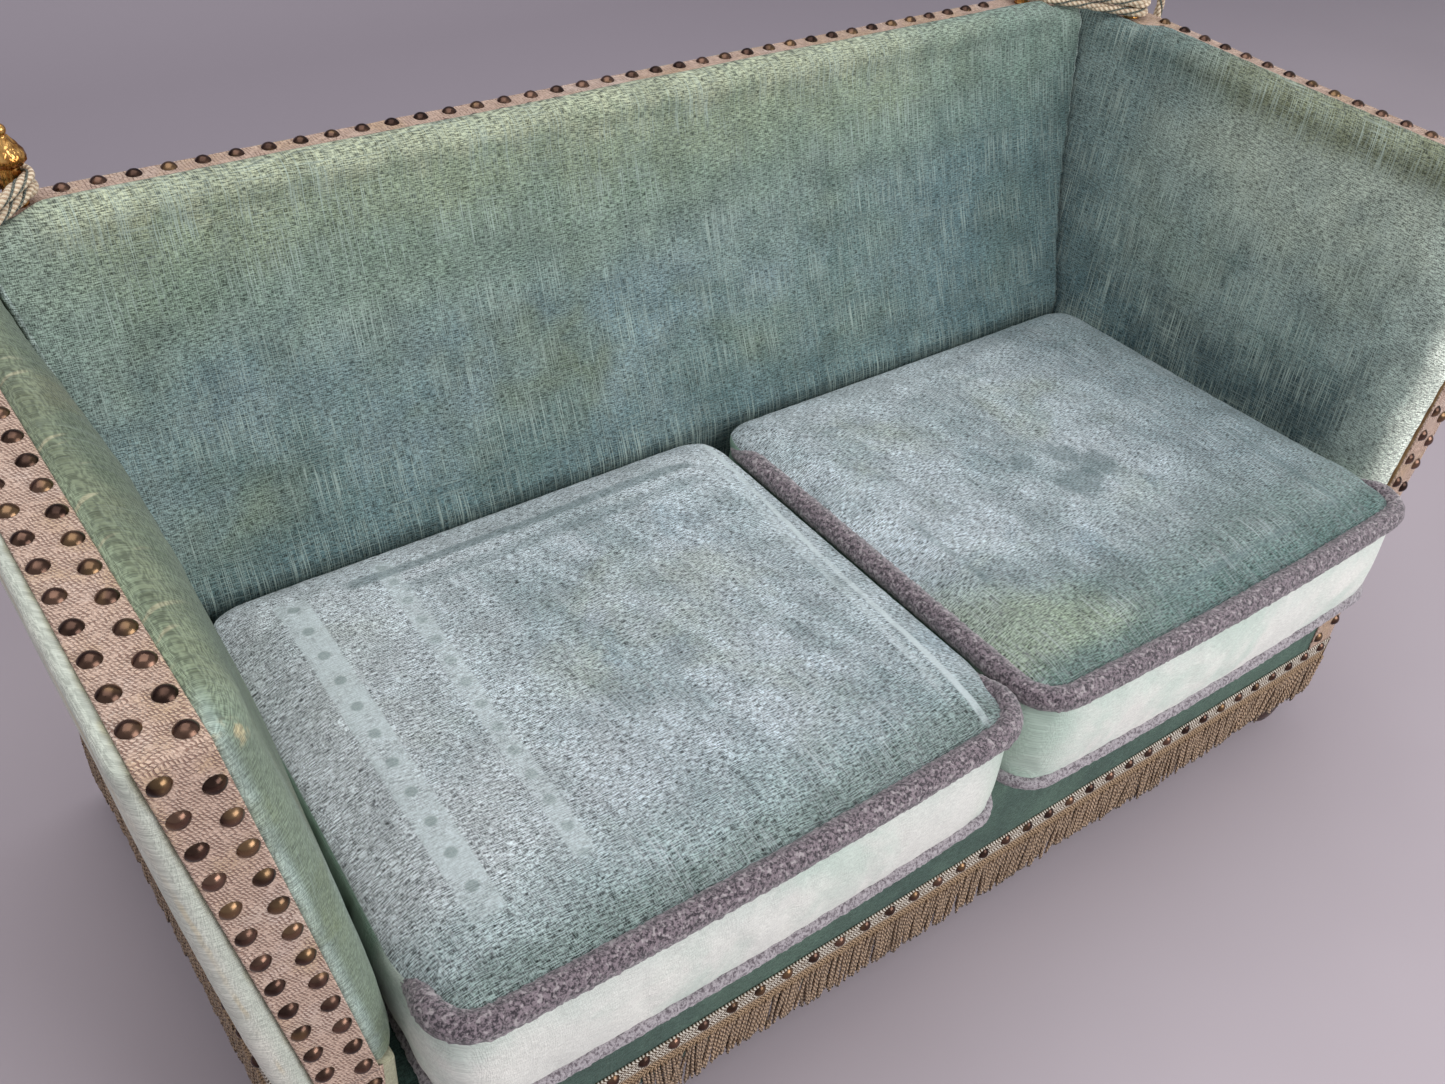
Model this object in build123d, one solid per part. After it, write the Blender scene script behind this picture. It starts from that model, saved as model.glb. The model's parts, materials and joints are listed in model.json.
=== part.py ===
from build123d import *
import math
import os

os.makedirs("parts", exist_ok=True)

# Knole sofa, millimetres, +Z up, +X to the right seen from the front, +Y to the back.
# The sofa is laid out from the front line of the seat cushions, y = 0, and moved to its
# origin, the middle of its footprint on the floor, when the parts are written.

# Clearances
soft_gap = 0.4
piping_gap = 0.7
seat_gap = 0.3
running_gap = 0.05
overrun = 20.0

# Seat cushions
cushion_width = 680.0
cushion_depth = 577.0
cushion_rear_narrowing = 31.0
cushion_front_setback = 6.0
top_seam_height = 460.0
bottom_seam_height = 331.0
top_piping_radius = 14.0
bottom_piping_radius = 9.5
cushion_crown = 20.0
cushion_front_bow = 7.0
cushion_side_draw = 4.0
cushion_middle_draw = 1.0
cushion_corner_radius = 42.0
cushion_border_bulge = 3.0
cushion_lift_gap = 0.8
cushion_inner_corner_share = 0.4
groove_step_degrees = 30
groove_steps = 5
crown_inset_shares = (0.16, 0.42, 0.72)
crown_rise_shares = (0.62, 0.86, 1.0)

# Base
base_side_room = 70.0
base_front = 57.0
base_rear = 831.0
base_side_top = 395.0
cover_bottom = 98.0
cover_thickness = 8.0
side_cover_thickness = 6.0
side_wall_width = 62.0
deck_top = 320.0
deck_thickness = 29.0
deck_edge_radius = 10.0

# Seat frame
rail_thickness = 28.0
rail_bottom = 100.0
rail_top = 285.0
stretcher_width = 40.0
stretcher_height = 70.0
stretcher_bottom = 150.0
corner_block_leg = 88.0
corner_block_bottom = 130.0
corner_block_height = 140.0

# Feet
foot_side_inset = 48.0
foot_inset = 41.0
foot_radius = 34.0
foot_sole_radius = 25.0
foot_collar_radius = 22.0
foot_bulge_height_share = 0.42
foot_collar_height_share = 0.86

# Seat springs
spring_wire_radius = 1.8
spring_count_each_side = 4
spring_half_width = 24.0
spring_pitch = 31.0
spring_spacing = 140.0
spring_end_run = 26.0
spring_bend_share = 0.42

# Arms: the middle plane of an arm leans outward
arm_foot_inset = 20.8
arm_lean = 0.1705
arm_top = 829.0
arm_gap = 1.5
arm_front = 52.0
arm_rear_setback = 5.0
arm_frame_half = 21.0
arm_rail_height = 44.0
arm_post_depth = 44.0

# Trim
tape_width = 49.0
tape_thickness = 2.5
nail_radius = 8.2
nail_height = 5.0
nail_pitch = 34.5
nail_row_offset = 14.2
base_nail_pitch = 37.0
header_top = 158.0
header_bottom = 120.0
header_thickness = 3.0
fringe_thickness = 9.0
fringe_bottom = 42.0
fringe_nail_height = 149.5
fringe_nail_radius = 7.5

# Back
back_frame_inset = 55.0
back_frame_depth = 42.0
back_outer_thickness = 12.0
back_side_room = 2.0
back_side_lean = 0.238
back_side_gap = 1.0
back_post_width = 50.0
back_post_side_inset = 16.0
back_lower_rail_bottom = 330.0
back_lower_rail_height = 60.0
back_top_rail_height = 54.0
back_upright_width = 44.0
back_tape_inset = 35.0

# Hinges of the drop arms
hinge_front_run = 93.0
hinge_rear_run = 131.0
hinge_middle_share = 27 / 55
hinge_length = 72.0
hinge_knuckle_radius = 5.0
hinge_pin_radius = 2.5
hinge_leaf_width = 34.0
hinge_leaf_thickness = 2.0
hinge_knuckle_share = 1 / 3
hinge_pocket_gap = 1.0
hinge_tongue_gap = 1.5
hinge_knuckle_gap = 0.2

# Pads of the back and the arms
back_pad_seat_lean = 5.0
back_pad_hollow = 9.0
back_pad_shoulder_run = 47.5
back_pad_shoulder_drop = 7.0
back_pad_crest_run = 23.5
back_pad_crest = 7.5
inner_pad_front_offset = 52.0
inner_pad_swell = 8.0
inner_pad_roll_swell = 14.0
inner_pad_tuck_offset = 48.0
inner_pad_tuck_height = 44.0
inner_pad_tuck_share = 0.33
inner_pad_crest_offset = 38.0
inner_pad_crest = 4.0
inner_pad_front_roll = 45.0
pad_roll_shares = ((0.0, 0.12), (0.06, 0.45), (0.2, 0.72), (0.5, 0.92), (1.0, 1.0))
pad_length_shares = (0.3, 0.58, 0.86, 1.0)
inner_pad_rear_hollow = 2.5
inner_pad_roll_drop = 30.0
outer_pad_roll_drop = 14.0
outer_pad_shoulder_share = 0.25
roll_swell_start = 40.0
roll_swell_rise = 100.0
outer_pad_foot_offset = 53.0
outer_pad_middle_offset = 49.0
outer_pad_top_offset = 37.5
outer_pad_front_roll = 18.0

# Finials
arm_finial_inset = 15.0
back_finial_inset = 60.5
arm_finial_run = 108.0
finial_foot_radius = 11.0
finial_foot_height = 2.5
finial_neck_radius = 10.0
finial_neck_height = 40.0
finial_bulb_radius = 17.6
finial_bulb_height = 39.0
finial_tip_radius = 6.1
finial_shoulder_shares = (0.82, 0.05)
finial_widest_share = 0.2
finial_taper_shares = (0.86, 0.42)
finial_throat_shares = (0.5, 0.62)
finial_waist_shares = (0.27, 0.74)

# Ropes and tassels
tassel_collar_share = 0.9
rope_radius = 6.0
rope_turns = 2
rope_turn_gap = 0.6
rope_start_run = 16.0
rope_sample_run = 3.2
rope_apart_run = 38.0
rope_tail_overhang = 55.1
rope_tail_setback = 7.0
rope_tail_bend = 30.0
rope_tail_drop = 25.5
tassel_head_radius = 17.0
tassel_head_height = 34.0
tassel_waist_radius = 11.0
tassel_skirt_radius = 20.0
tassel_length = 150.0

# Places that follow from the sizes above
base_half_width = cushion_width + base_side_room
side_well_half_width = base_half_width - side_wall_width
back_side_x_at_seam = cushion_width - cushion_rear_narrowing + back_side_room
foot_x = base_half_width - foot_side_inset
base_tape_inner = base_half_width - tape_width
arm_rear = base_rear - arm_rear_setback
back_frame_front = base_rear - back_frame_inset
back_tape_middle = base_rear - back_tape_inset
arm_finial_y = back_tape_middle - arm_finial_run
front_reach = top_piping_radius + cushion_front_bow - cushion_front_setback
rear_reach = base_rear + fringe_thickness
depth_middle = (rear_reach - front_reach) / 2
arm_bottom = base_side_top + arm_gap
hinge_x = base_half_width
hinge_z = base_side_top + arm_gap / 2
hinge_front = base_front + hinge_front_run
hinge_rear = base_rear - hinge_rear_run
hinge_middle = hinge_front + hinge_middle_share * (hinge_rear - hinge_front)
hinge_places = (hinge_front, hinge_middle, hinge_rear)
side_rail_top = hinge_z - hinge_knuckle_radius - seat_gap
tape_top = arm_top + tape_thickness
rope_pitch = 2 * rope_radius + rope_turn_gap
rope_wrap_radius = finial_neck_radius + rope_radius + seat_gap


def arm_plane_x(z):
    return base_half_width - arm_foot_inset + (z - arm_bottom) * arm_lean


def back_side_x(z):
    return back_side_x_at_seam + (z - top_seam_height) * back_side_lean


back_finial_x = back_side_x(arm_top) - back_finial_inset
rope_tail_x = arm_plane_x(arm_top) + rope_tail_overhang
rope_tail_y = arm_finial_y + rope_tail_setback
rope_tail_bottom = tape_top - rope_tail_drop


def block(low, high):
    size = [b - a for a, b in zip(low, high)]
    middle = [(a + b) / 2 for a, b in zip(low, high)]
    return Pos(*middle) * Box(*size)


def solids_of(shape):
    return shape.solids() if hasattr(shape, "solids") else list(shape)


def group(shapes):
    found = []
    for shape in shapes:
        found += solids_of(shape)
    return found[0] if len(found) == 1 else Compound(found)


def prism_xz(points, front, rear):
    """A flat outline in X and Z, run from front to rear."""
    outline = Polyline(*[(x, front, z) for x, z in points], close=True)
    return extrude(Face(Wire(outline.edges())), amount=rear - front, dir=(0, 1, 0))


def leaning_box(inner, outer, bottom, top, front, rear, plane_x=arm_plane_x):
    """A straight member whose sides follow a leaning plane."""
    points = [
        (plane_x(bottom) + inner, bottom),
        (plane_x(bottom) + outer, bottom),
        (plane_x(top) + outer, top),
        (plane_x(top) + inner, top),
    ]
    return prism_xz(points, front, rear)


def left_of(shape):
    return mirror(shape, about=Plane.YZ)


parts = {}


def both_sides(name, shape):
    parts[name + "_right"] = shape
    parts[name + "_left"] = left_of(shape)


# Seat cushions: the right one is made, the left one mirrors it
def cushion_outline(inset, height):
    """The plan of a cushion: a bowed front, sides drawn in, rounded corners."""
    inner = cushion_lift_gap / 2 + top_piping_radius + inset
    edge = cushion_width - top_piping_radius - inset
    front = cushion_front_setback + inset
    rear = cushion_depth - top_piping_radius - inset
    shrink = (rear - front) / (cushion_depth - top_piping_radius - cushion_front_setback)
    outer = edge - cushion_rear_narrowing * (1 - shrink) / 2
    outer_rear = outer - cushion_rear_narrowing * shrink
    middle_x = (inner + outer) / 2
    middle_y = (front + rear) / 2
    bow = cushion_front_bow * shrink
    corners = [(inner, front), (outer, front), (outer_rear, rear), (inner, rear)]
    bulges = [
        (middle_x, front - bow),
        ((outer + outer_rear) / 2 - cushion_side_draw * shrink, middle_y),
        None,
        (inner + cushion_middle_draw * shrink, middle_y),
    ]
    sides = []
    for i, corner in enumerate(corners):
        following = corners[(i + 1) % len(corners)]
        if bulges[i] is None:
            sides.append(Line(corner, following))
        else:
            sides.append(ThreePointArc(corner, bulges[i], following))
    face = Face(Wire(sides))
    radius = max(cushion_corner_radius - inset, cushion_corner_radius * cushion_inner_corner_share)
    rounded = fillet(face.vertices(), radius)
    return Pos(0, 0, height) * Wire(rounded.edges())


def piping(outline, radius):
    """A closed roll along a seam."""
    start = outline @ 0
    section = Plane(origin=start, z_dir=outline % 0) * Circle(radius)
    return sweep(section, path=outline)


def groove(seam_height, radius, way):
    """The steps of the body round its piping, from the border over to the face."""
    step = math.radians(groove_step_degrees)
    reach = (radius + piping_gap) / math.cos(step / 2)
    return [
        (reach * math.sin(i * step), seam_height - way * reach * math.cos(i * step))
        for i in range(groove_steps)
    ]


crown_reach = cushion_depth / 2 - cushion_corner_radius
top_levels = groove(top_seam_height, top_piping_radius, 1)
bottom_levels = groove(bottom_seam_height, bottom_piping_radius, -1)
for inset_share, rise_share in zip(crown_inset_shares, crown_rise_shares):
    inset = inset_share * crown_reach
    top_levels.append((inset, top_seam_height + cushion_crown * rise_share))
    fall = bottom_seam_height - deck_top - soft_gap
    bottom_levels.append((inset, bottom_seam_height - fall * rise_share))
levels = list(reversed(bottom_levels))
levels.append((-cushion_border_bulge, (top_seam_height + bottom_seam_height) / 2))
levels += top_levels

cushion_body = loft([Face(cushion_outline(inset, height)) for inset, height in levels], ruled=True)
top_roll = piping(cushion_outline(0, top_seam_height), top_piping_radius)
bottom_roll = piping(cushion_outline(0, bottom_seam_height), bottom_piping_radius)
both_sides("cushion", cushion_body)
both_sides("cushion_piping", group([top_roll, bottom_roll]))

# Seat frame
rail_outer = base_half_width - side_cover_thickness - seat_gap
rail_inner = rail_outer - rail_thickness
front_rail_front = base_front + cover_thickness + seat_gap
front_rail_rear = front_rail_front + rail_thickness
rear_rail_rear = base_rear - back_outer_thickness - seat_gap
rear_rail_front = rear_rail_rear - rail_thickness
rail_side = block(
    (rail_inner, front_rail_front, rail_bottom),
    (rail_outer, rear_rail_rear, side_rail_top),
)
both_sides("rail_side", rail_side)
parts["rail_front"] = block(
    (-rail_inner, front_rail_front, rail_bottom),
    (rail_inner, front_rail_rear, rail_top),
)
parts["rail_rear"] = block(
    (-rail_inner, rear_rail_front, rail_bottom),
    (rail_inner, rear_rail_rear, rail_top),
)
parts["centre_stretcher"] = block(
    (-stretcher_width / 2, front_rail_rear, stretcher_bottom),
    (stretcher_width / 2, rear_rail_front, stretcher_bottom + stretcher_height),
)


def corner_block(corner_y, towards):
    points = [
        (rail_inner, corner_y, corner_block_bottom),
        (rail_inner - corner_block_leg, corner_y, corner_block_bottom),
        (rail_inner, corner_y + towards * corner_block_leg, corner_block_bottom),
    ]
    outline = Face(Wire(Polyline(*points, close=True).edges()))
    return extrude(outline, amount=corner_block_height, dir=(0, 0, 1))


right_blocks = [corner_block(front_rail_rear, 1), corner_block(rear_rail_front, -1)]
parts["corner_blocks"] = group(right_blocks + [left_of(one) for one in right_blocks])


# Bun feet
def foot(y):
    bulge_height = foot_bulge_height_share * rail_bottom
    collar_height = foot_collar_height_share * rail_bottom
    belly = ThreePointArc(
        (foot_sole_radius, 0, 0),
        (foot_radius, 0, bulge_height),
        (foot_collar_radius, 0, collar_height),
    )
    collar = Line((foot_collar_radius, 0, collar_height), (foot_collar_radius, 0, rail_bottom))
    top = Line((foot_collar_radius, 0, rail_bottom), (0, 0, rail_bottom))
    axis = Line((0, 0, rail_bottom), (0, 0, 0))
    sole = Line((0, 0, 0), (foot_sole_radius, 0, 0))
    profile = Face(Wire([belly, collar, top, axis, sole]))
    return Pos(foot_x, y, 0) * revolve(profile, axis=Axis.Z)


both_sides("foot_front", foot(base_front + foot_inset))
both_sides("foot_rear", foot(base_rear - foot_inset))

# Sinuous seat springs, lying on the front and rear rails
spring_height = rail_top + spring_wire_radius
spring_front = front_rail_front + rail_thickness / 2
spring_rear = rear_rail_rear - rail_thickness / 2
spring_waves = int((spring_rear - spring_front - 2 * spring_end_run) / spring_pitch)
spring_step = (spring_rear - spring_front - 2 * spring_end_run) / spring_waves


def spring(x):
    points = [(x, spring_front, spring_height)]
    side = 1
    came_from = x
    for wave in range(spring_waves + 1):
        y = spring_front + spring_end_run + wave * spring_step
        points.append((came_from, y, spring_height))
        side = -side
        came_from = x if wave == spring_waves else x + side * spring_half_width
        points.append((came_from, y, spring_height))
    points.append((x, spring_rear, spring_height))
    path = FilletPolyline(*points, radius=spring_bend_share * spring_step)
    section = Plane(origin=points[0], z_dir=(0, 1, 0)) * Circle(spring_wire_radius)
    return sweep(section, path=path)


right_springs = [spring(spring_spacing * (i + 1 / 2)) for i in range(spring_count_each_side)]
parts["seat_springs"] = group(right_springs + [left_of(one) for one in right_springs])

# Stuffed seat deck on the springs
deck_half = side_well_half_width - seat_gap
deck = block(
    (-deck_half, base_front + cover_thickness + seat_gap, deck_top - deck_thickness),
    (deck_half, back_frame_front - seat_gap, deck_top),
)
deck_edges = deck.edges().filter_by(Axis.X).group_by(Axis.Z)[-1]
parts["seat_deck"] = fillet(deck_edges, deck_edge_radius)

# Base covers
front_cover = block(
    (-base_half_width, base_front, cover_bottom),
    (base_half_width, base_front + cover_thickness, deck_top),
)
parts["base_cover_front"] = front_cover


def hinge_pockets():
    """The room that the hinges need in what they lie in."""
    rooms = []
    reach = hinge_length / 2 + hinge_pocket_gap
    for y in hinge_places:
        low = hinge_z - hinge_knuckle_radius - seat_gap
        high = hinge_z + hinge_knuckle_radius + seat_gap
        leaf_end = hinge_x - hinge_leaf_width - hinge_pocket_gap
        rooms.append(block((leaf_end, y - reach, low), (hinge_x, y + reach, high)))
        barrel = Cylinder(hinge_knuckle_radius + hinge_pocket_gap, 2 * reach)
        rooms.append(Pos(hinge_x, y, hinge_z) * Rot(90, 0, 0) * barrel)
    return rooms


pockets = hinge_pockets()


def without_pockets(shape):
    for room in pockets:
        shape = shape - room
    return shape


cover_rear = rear_rail_rear
side_cover = block(
    (rail_outer + seat_gap, base_front + cover_thickness + seat_gap, cover_bottom),
    (base_half_width, cover_rear, base_side_top),
)
side_cover += block(
    (side_well_half_width, base_front + cover_thickness + seat_gap, side_rail_top + seat_gap),
    (base_half_width, cover_rear, base_side_top),
)
side_cover += block(
    (side_well_half_width, base_front + cover_thickness + seat_gap, rail_top + seat_gap),
    (rail_inner - seat_gap, cover_rear, base_side_top),
)
side_cover += block(
    (side_well_half_width, base_front, deck_top + seat_gap),
    (base_half_width, base_front + cover_thickness + seat_gap, base_side_top),
)
both_sides("base_cover", without_pockets(side_cover))

# Base corner tapes on the front
base_tape = block(
    (base_tape_inner, base_front - tape_thickness, header_top + seat_gap),
    (base_half_width, base_front, base_side_top),
)
parts["base_tape"] = group([base_tape, left_of(base_tape)])

# Fringe and its header, on all four sides
header_front_y = base_front - header_thickness
header_side_x = base_half_width + header_thickness
front_header = block(
    (-header_side_x, header_front_y, header_bottom),
    (header_side_x, base_front, header_top),
)
rear_header = block(
    (-header_side_x, base_rear, header_bottom),
    (header_side_x, base_rear + header_thickness, header_top),
)
side_header = block(
    (base_half_width, base_front, header_bottom),
    (header_side_x, base_rear, header_top),
)
parts["fringe_header"] = group([front_header, rear_header, side_header, left_of(side_header)])

parts["fringe_front"] = block(
    (-header_side_x, base_front - fringe_thickness, fringe_bottom),
    (header_side_x, base_front, header_bottom),
)
parts["fringe_rear"] = block(
    (-header_side_x, base_rear, fringe_bottom),
    (header_side_x, base_rear + fringe_thickness, header_bottom),
)
both_sides(
    "fringe",
    block(
        (base_half_width, base_front, fringe_bottom),
        (base_half_width + fringe_thickness, base_rear, header_bottom),
    ),
)


# Nails: domes that sit on the tape
def nail(radius):
    ball_radius = (radius**2 + nail_height**2) / (2 * nail_height)
    dome = Pos(0, 0, nail_height - ball_radius) * Sphere(ball_radius)
    return dome & Pos(0, 0, nail_height / 2) * Box(2 * ball_radius, 2 * ball_radius, nail_height)


big_nail = nail(nail_radius)
small_nail = nail(fringe_nail_radius)


def staggered(length, pitch):
    """Places along a strip for two staggered rows: distance and side."""
    count = int((length - nail_radius * 2) / (pitch / 2))
    step = length / (count + 1)
    return [(step * (i + 1), 1 if i % 2 else -1) for i in range(count)]


base_nails = []
base_tape_middle = (base_tape_inner + base_half_width) / 2
for along, side in staggered(base_side_top - header_top, base_nail_pitch):
    x = base_tape_middle + side * nail_row_offset
    place = Pos(x, base_front - tape_thickness, header_top + along)
    base_nails.append(place * Rot(90, 0, 0) * big_nail)
side_row = int((base_rear - base_front) / base_nail_pitch)
for i in range(side_row):
    y = base_front + (base_rear - base_front) * (i + 1 / 2) / side_row
    base_nails.append(Pos(header_side_x, y, fringe_nail_height) * Rot(0, 90, 0) * small_nail)
front_row = int(base_half_width / base_nail_pitch)
for i in range(front_row):
    x = base_half_width * (i + 1 / 2) / front_row
    base_nails.append(Pos(x, header_front_y, fringe_nail_height) * Rot(90, 0, 0) * small_nail)
    rear_place = Pos(x, base_rear + header_thickness, fringe_nail_height)
    base_nails.append(rear_place * Rot(-90, 0, 0) * small_nail)
parts["base_nails"] = group(base_nails + [left_of(one) for one in base_nails])

# Back frame
back_frame_rear = back_frame_front + back_frame_depth
back_rail_bottom = arm_top - back_top_rail_height
post_outer = -back_post_side_inset
post_inner = post_outer - back_post_width
back_post = leaning_box(
    post_inner, post_outer, rail_top, back_rail_bottom, back_frame_front, back_frame_rear, back_side_x
)
parts["back_posts"] = group([back_post, left_of(back_post)])
parts["back_top_rail"] = prism_xz(
    [
        (-back_side_x(back_rail_bottom) - post_outer, back_rail_bottom),
        (back_side_x(back_rail_bottom) + post_outer, back_rail_bottom),
        (back_side_x(arm_top) + post_outer, arm_top),
        (-back_side_x(arm_top) - post_outer, arm_top),
    ],
    back_frame_front,
    back_frame_rear,
)
lower_rail_top = back_lower_rail_bottom + back_lower_rail_height
parts["back_lower_rail"] = prism_xz(
    [
        (-back_side_x(back_lower_rail_bottom) - post_inner, back_lower_rail_bottom),
        (back_side_x(back_lower_rail_bottom) + post_inner, back_lower_rail_bottom),
        (back_side_x(lower_rail_top) + post_inner, lower_rail_top),
        (-back_side_x(lower_rail_top) - post_inner, lower_rail_top),
    ],
    back_frame_front,
    back_frame_rear,
)
parts["back_upright"] = block(
    (-back_upright_width / 2, back_frame_front, lower_rail_top),
    (back_upright_width / 2, back_frame_rear, back_rail_bottom),
)

# Inside back: a pad that leans, swells and rolls over at the top
back_tape_front = back_tape_middle - tape_width / 2
back_pad_shoulder_y = back_tape_front - back_pad_shoulder_run
back_pad_crest_y = back_tape_front - back_pad_crest_run
face_foot = cushion_depth + soft_gap
seat_line = face_foot + back_pad_seat_lean
shoulder_height = arm_top - back_pad_shoulder_drop
hollow_y = (seat_line + back_pad_shoulder_y) / 2 + back_pad_hollow
hollow_z = (top_seam_height + shoulder_height) / 2
pad_rear = back_frame_front - seat_gap
pad_profile = [
    Line((0, face_foot, deck_top + seat_gap), (0, seat_line, top_seam_height)),
    ThreePointArc(
        (0, seat_line, top_seam_height),
        (0, hollow_y, hollow_z),
        (0, back_pad_shoulder_y, shoulder_height),
    ),
    ThreePointArc(
        (0, back_pad_shoulder_y, shoulder_height),
        (0, back_pad_crest_y, tape_top + back_pad_crest),
        (0, back_tape_front - seat_gap, arm_top),
    ),
    Line((0, back_tape_front - seat_gap, arm_top), (0, pad_rear, arm_top)),
    Line((0, pad_rear, arm_top), (0, pad_rear, deck_top + seat_gap)),
    Line((0, pad_rear, deck_top + seat_gap), (0, face_foot, deck_top + seat_gap)),
]


def back_outline(bottom, low_half, top, side_inset):
    """The back seen from the front: wide in the seat well, between the arms above it."""
    above = arm_bottom
    right = [
        (low_half, bottom),
        (low_half, base_side_top),
        (back_side_x(above) - side_inset, base_side_top),
        (back_side_x(top) - side_inset, top),
    ]
    return right + [(-x, z) for x, z in reversed(right)]


pad_block = extrude(Face(Wire(pad_profile)), amount=base_half_width, dir=(1, 0, 0), both=True)
pad_sides = back_outline(deck_top, deck_half, arm_top + overrun, back_side_gap)
pad_front = cushion_depth - overrun
parts["back_pad"] = pad_block & prism_xz(pad_sides, pad_front, back_frame_front)

# Outside back, with a return at each side
outer_front = base_rear - back_outer_thickness
outside_sides = back_outline(cover_bottom, base_half_width, arm_top, back_side_gap)
outside = prism_xz(outside_sides, outer_front, base_rear)
return_inner = -back_post_side_inset + seat_gap
side_return = leaning_box(
    return_inner, -back_side_gap, arm_bottom, arm_top, pad_rear + seat_gap, outer_front, back_side_x
)
parts["back_outer_cover"] = outside + side_return + left_of(side_return)

back_tape_half = back_side_x(arm_top) - back_side_gap
parts["back_tape"] = block(
    (-back_tape_half, back_tape_front, arm_top),
    (back_tape_half, back_tape_front + tape_width, tape_top),
)

# Finials stand on the tapes
arm_finial = (arm_plane_x(arm_top) - arm_finial_inset, arm_finial_y)
back_finial = (back_finial_x, back_tape_middle)


def finial(place):
    """A foot, a neck for the rope, and a pear-shaped bulb with a ball at its tip."""
    bulb = finial_bulb_radius
    rise = finial_bulb_height
    base = finial_neck_height

    def at(radius, height):
        return (radius, 0, height)

    def from_shares(shares):
        return at(shares[0] * bulb, base + shares[1] * rise)

    waist = from_shares(finial_waist_shares)
    top = base + rise
    ball_foot = top - finial_tip_radius - math.sqrt(finial_tip_radius**2 - waist[0] ** 2)
    widest = at(bulb, base + finial_widest_share * rise)
    throat = from_shares(finial_throat_shares)
    outline = [
        Line(at(0, 0), at(finial_foot_radius, 0)),
        Line(at(finial_foot_radius, 0), at(finial_foot_radius, finial_foot_height)),
        Line(at(finial_foot_radius, finial_foot_height), at(finial_neck_radius, finial_foot_height)),
        Line(at(finial_neck_radius, finial_foot_height), at(finial_neck_radius, base)),
        ThreePointArc(at(finial_neck_radius, base), from_shares(finial_shoulder_shares), widest),
        ThreePointArc(widest, from_shares(finial_taper_shares), throat),
        Line(throat, waist),
        Line(waist, at(waist[0], ball_foot)),
        ThreePointArc(at(waist[0], ball_foot), at(finial_tip_radius, top - finial_tip_radius), at(0, top)),
        Line(at(0, top), at(0, 0)),
    ]
    turned = revolve(Face(Wire(outline)), axis=Axis.Z)
    return Pos(place[0], place[1], tape_top) * turned


both_sides("finial_back", finial(back_finial))
both_sides("finial_arm", finial(arm_finial))


# Ropes
def near_rope(x, y, reach):
    """True where a place lies within reach of the line between the two finials."""
    start = Vector(*back_finial)
    line = Vector(*arm_finial) - start
    share = (Vector(abs(x), y) - start).dot(line) / line.dot(line)
    nearest = start + line * min(1, max(0, share))
    return (Vector(abs(x), y) - nearest).length < reach


def biarc(start, start_way, end, end_way):
    """Two arcs that join tangentially, from one point and direction to another."""
    chord = end - start
    both = start_way + end_way
    a = 2 * start_way.dot(end_way) - 2
    b = -2 * chord.dot(both)
    c = chord.dot(chord)
    reach = (-b - math.sqrt(b * b - 4 * a * c)) / (2 * a)
    joint = (start + start_way * reach + end - end_way * reach) / 2
    middle_way = (end - end_way * reach) - (start + start_way * reach)
    return [TangentArc(start, joint, tangent=start_way), TangentArc(joint, end, tangent=middle_way)]


def rope_path():
    """Turns round both finials, climbing steadily, then a tail over the outside of the arm."""
    far = Vector(*arm_finial)
    near = Vector(*back_finial)
    along = (far - near).normalized()
    outward = Vector(-along.Y, along.X)
    span = (far - near).length
    turn_length = 2 * span + 2 * math.pi * rope_wrap_radius
    climb = rope_pitch / turn_length
    level = math.sqrt(1 + climb**2)
    foot_height = tape_top + finial_foot_height + seat_gap + rope_radius
    edges = []
    travelled = 0.0

    def point(flat):
        return Vector(flat.X, flat.Y, foot_height + travelled * climb)

    def way(flat):
        return Vector(flat.X, flat.Y, climb) / level

    def go_round(centre, first, turn):
        nonlocal travelled, spot
        side = Vector(-first.Y, first.X)
        for half in (1, 2):
            angle_before = turn * (half - 1) / 2
            angle = turn * half / 2
            heading_before = first * math.cos(angle_before) - side * math.sin(angle_before)
            heading = first * math.cos(angle) - side * math.sin(angle)
            out = side * math.cos(angle) + first * math.sin(angle)
            travelled += rope_wrap_radius * turn / 2
            after = point(centre + out * rope_wrap_radius)
            edges.extend(biarc(spot, way(heading_before), after, way(heading)))
            spot = after
        return heading

    def go_straight(heading, distance):
        nonlocal travelled, spot
        travelled += distance
        flat = Vector(spot.X, spot.Y) + heading * distance
        after = point(flat)
        edges.append(Line(spot, after))
        spot = after

    spot = point(far + outward * rope_wrap_radius - along * rope_start_run)
    go_straight(along, rope_start_run)
    tail = Vector(rope_tail_x, rope_tail_y) - near
    tail_angle = math.atan2(tail.dot(outward), tail.dot(along))
    spread = tail_angle - math.asin(rope_wrap_radius / tail.length)
    heading = along
    for turn in range(rope_turns):
        go_round(far, along, math.pi)
        go_straight(-along, span)
        if turn < rope_turns - 1:
            go_round(near, -along, math.pi)
            go_straight(along, span)
        else:
            heading = go_round(near, -along, math.pi - spread)
    rise_way = way(heading)
    turned = math.acos(-rise_way.Z)
    cut = rope_tail_bend * math.tan(turned / 2)
    reach = (Vector(rope_tail_x, rope_tail_y) - Vector(spot.X, spot.Y)).length
    corner = spot + rise_way * (reach * level)
    bend_start = corner - rise_way * cut
    bend_end = corner - Vector(0, 0, cut)
    edges.append(Line(spot, bend_start))
    edges.append(TangentArc(bend_start, bend_end, tangent=rise_way))
    edges.append(Line(bend_end, Vector(corner.X, corner.Y, rope_tail_bottom)))
    return Wire(edges)


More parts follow.
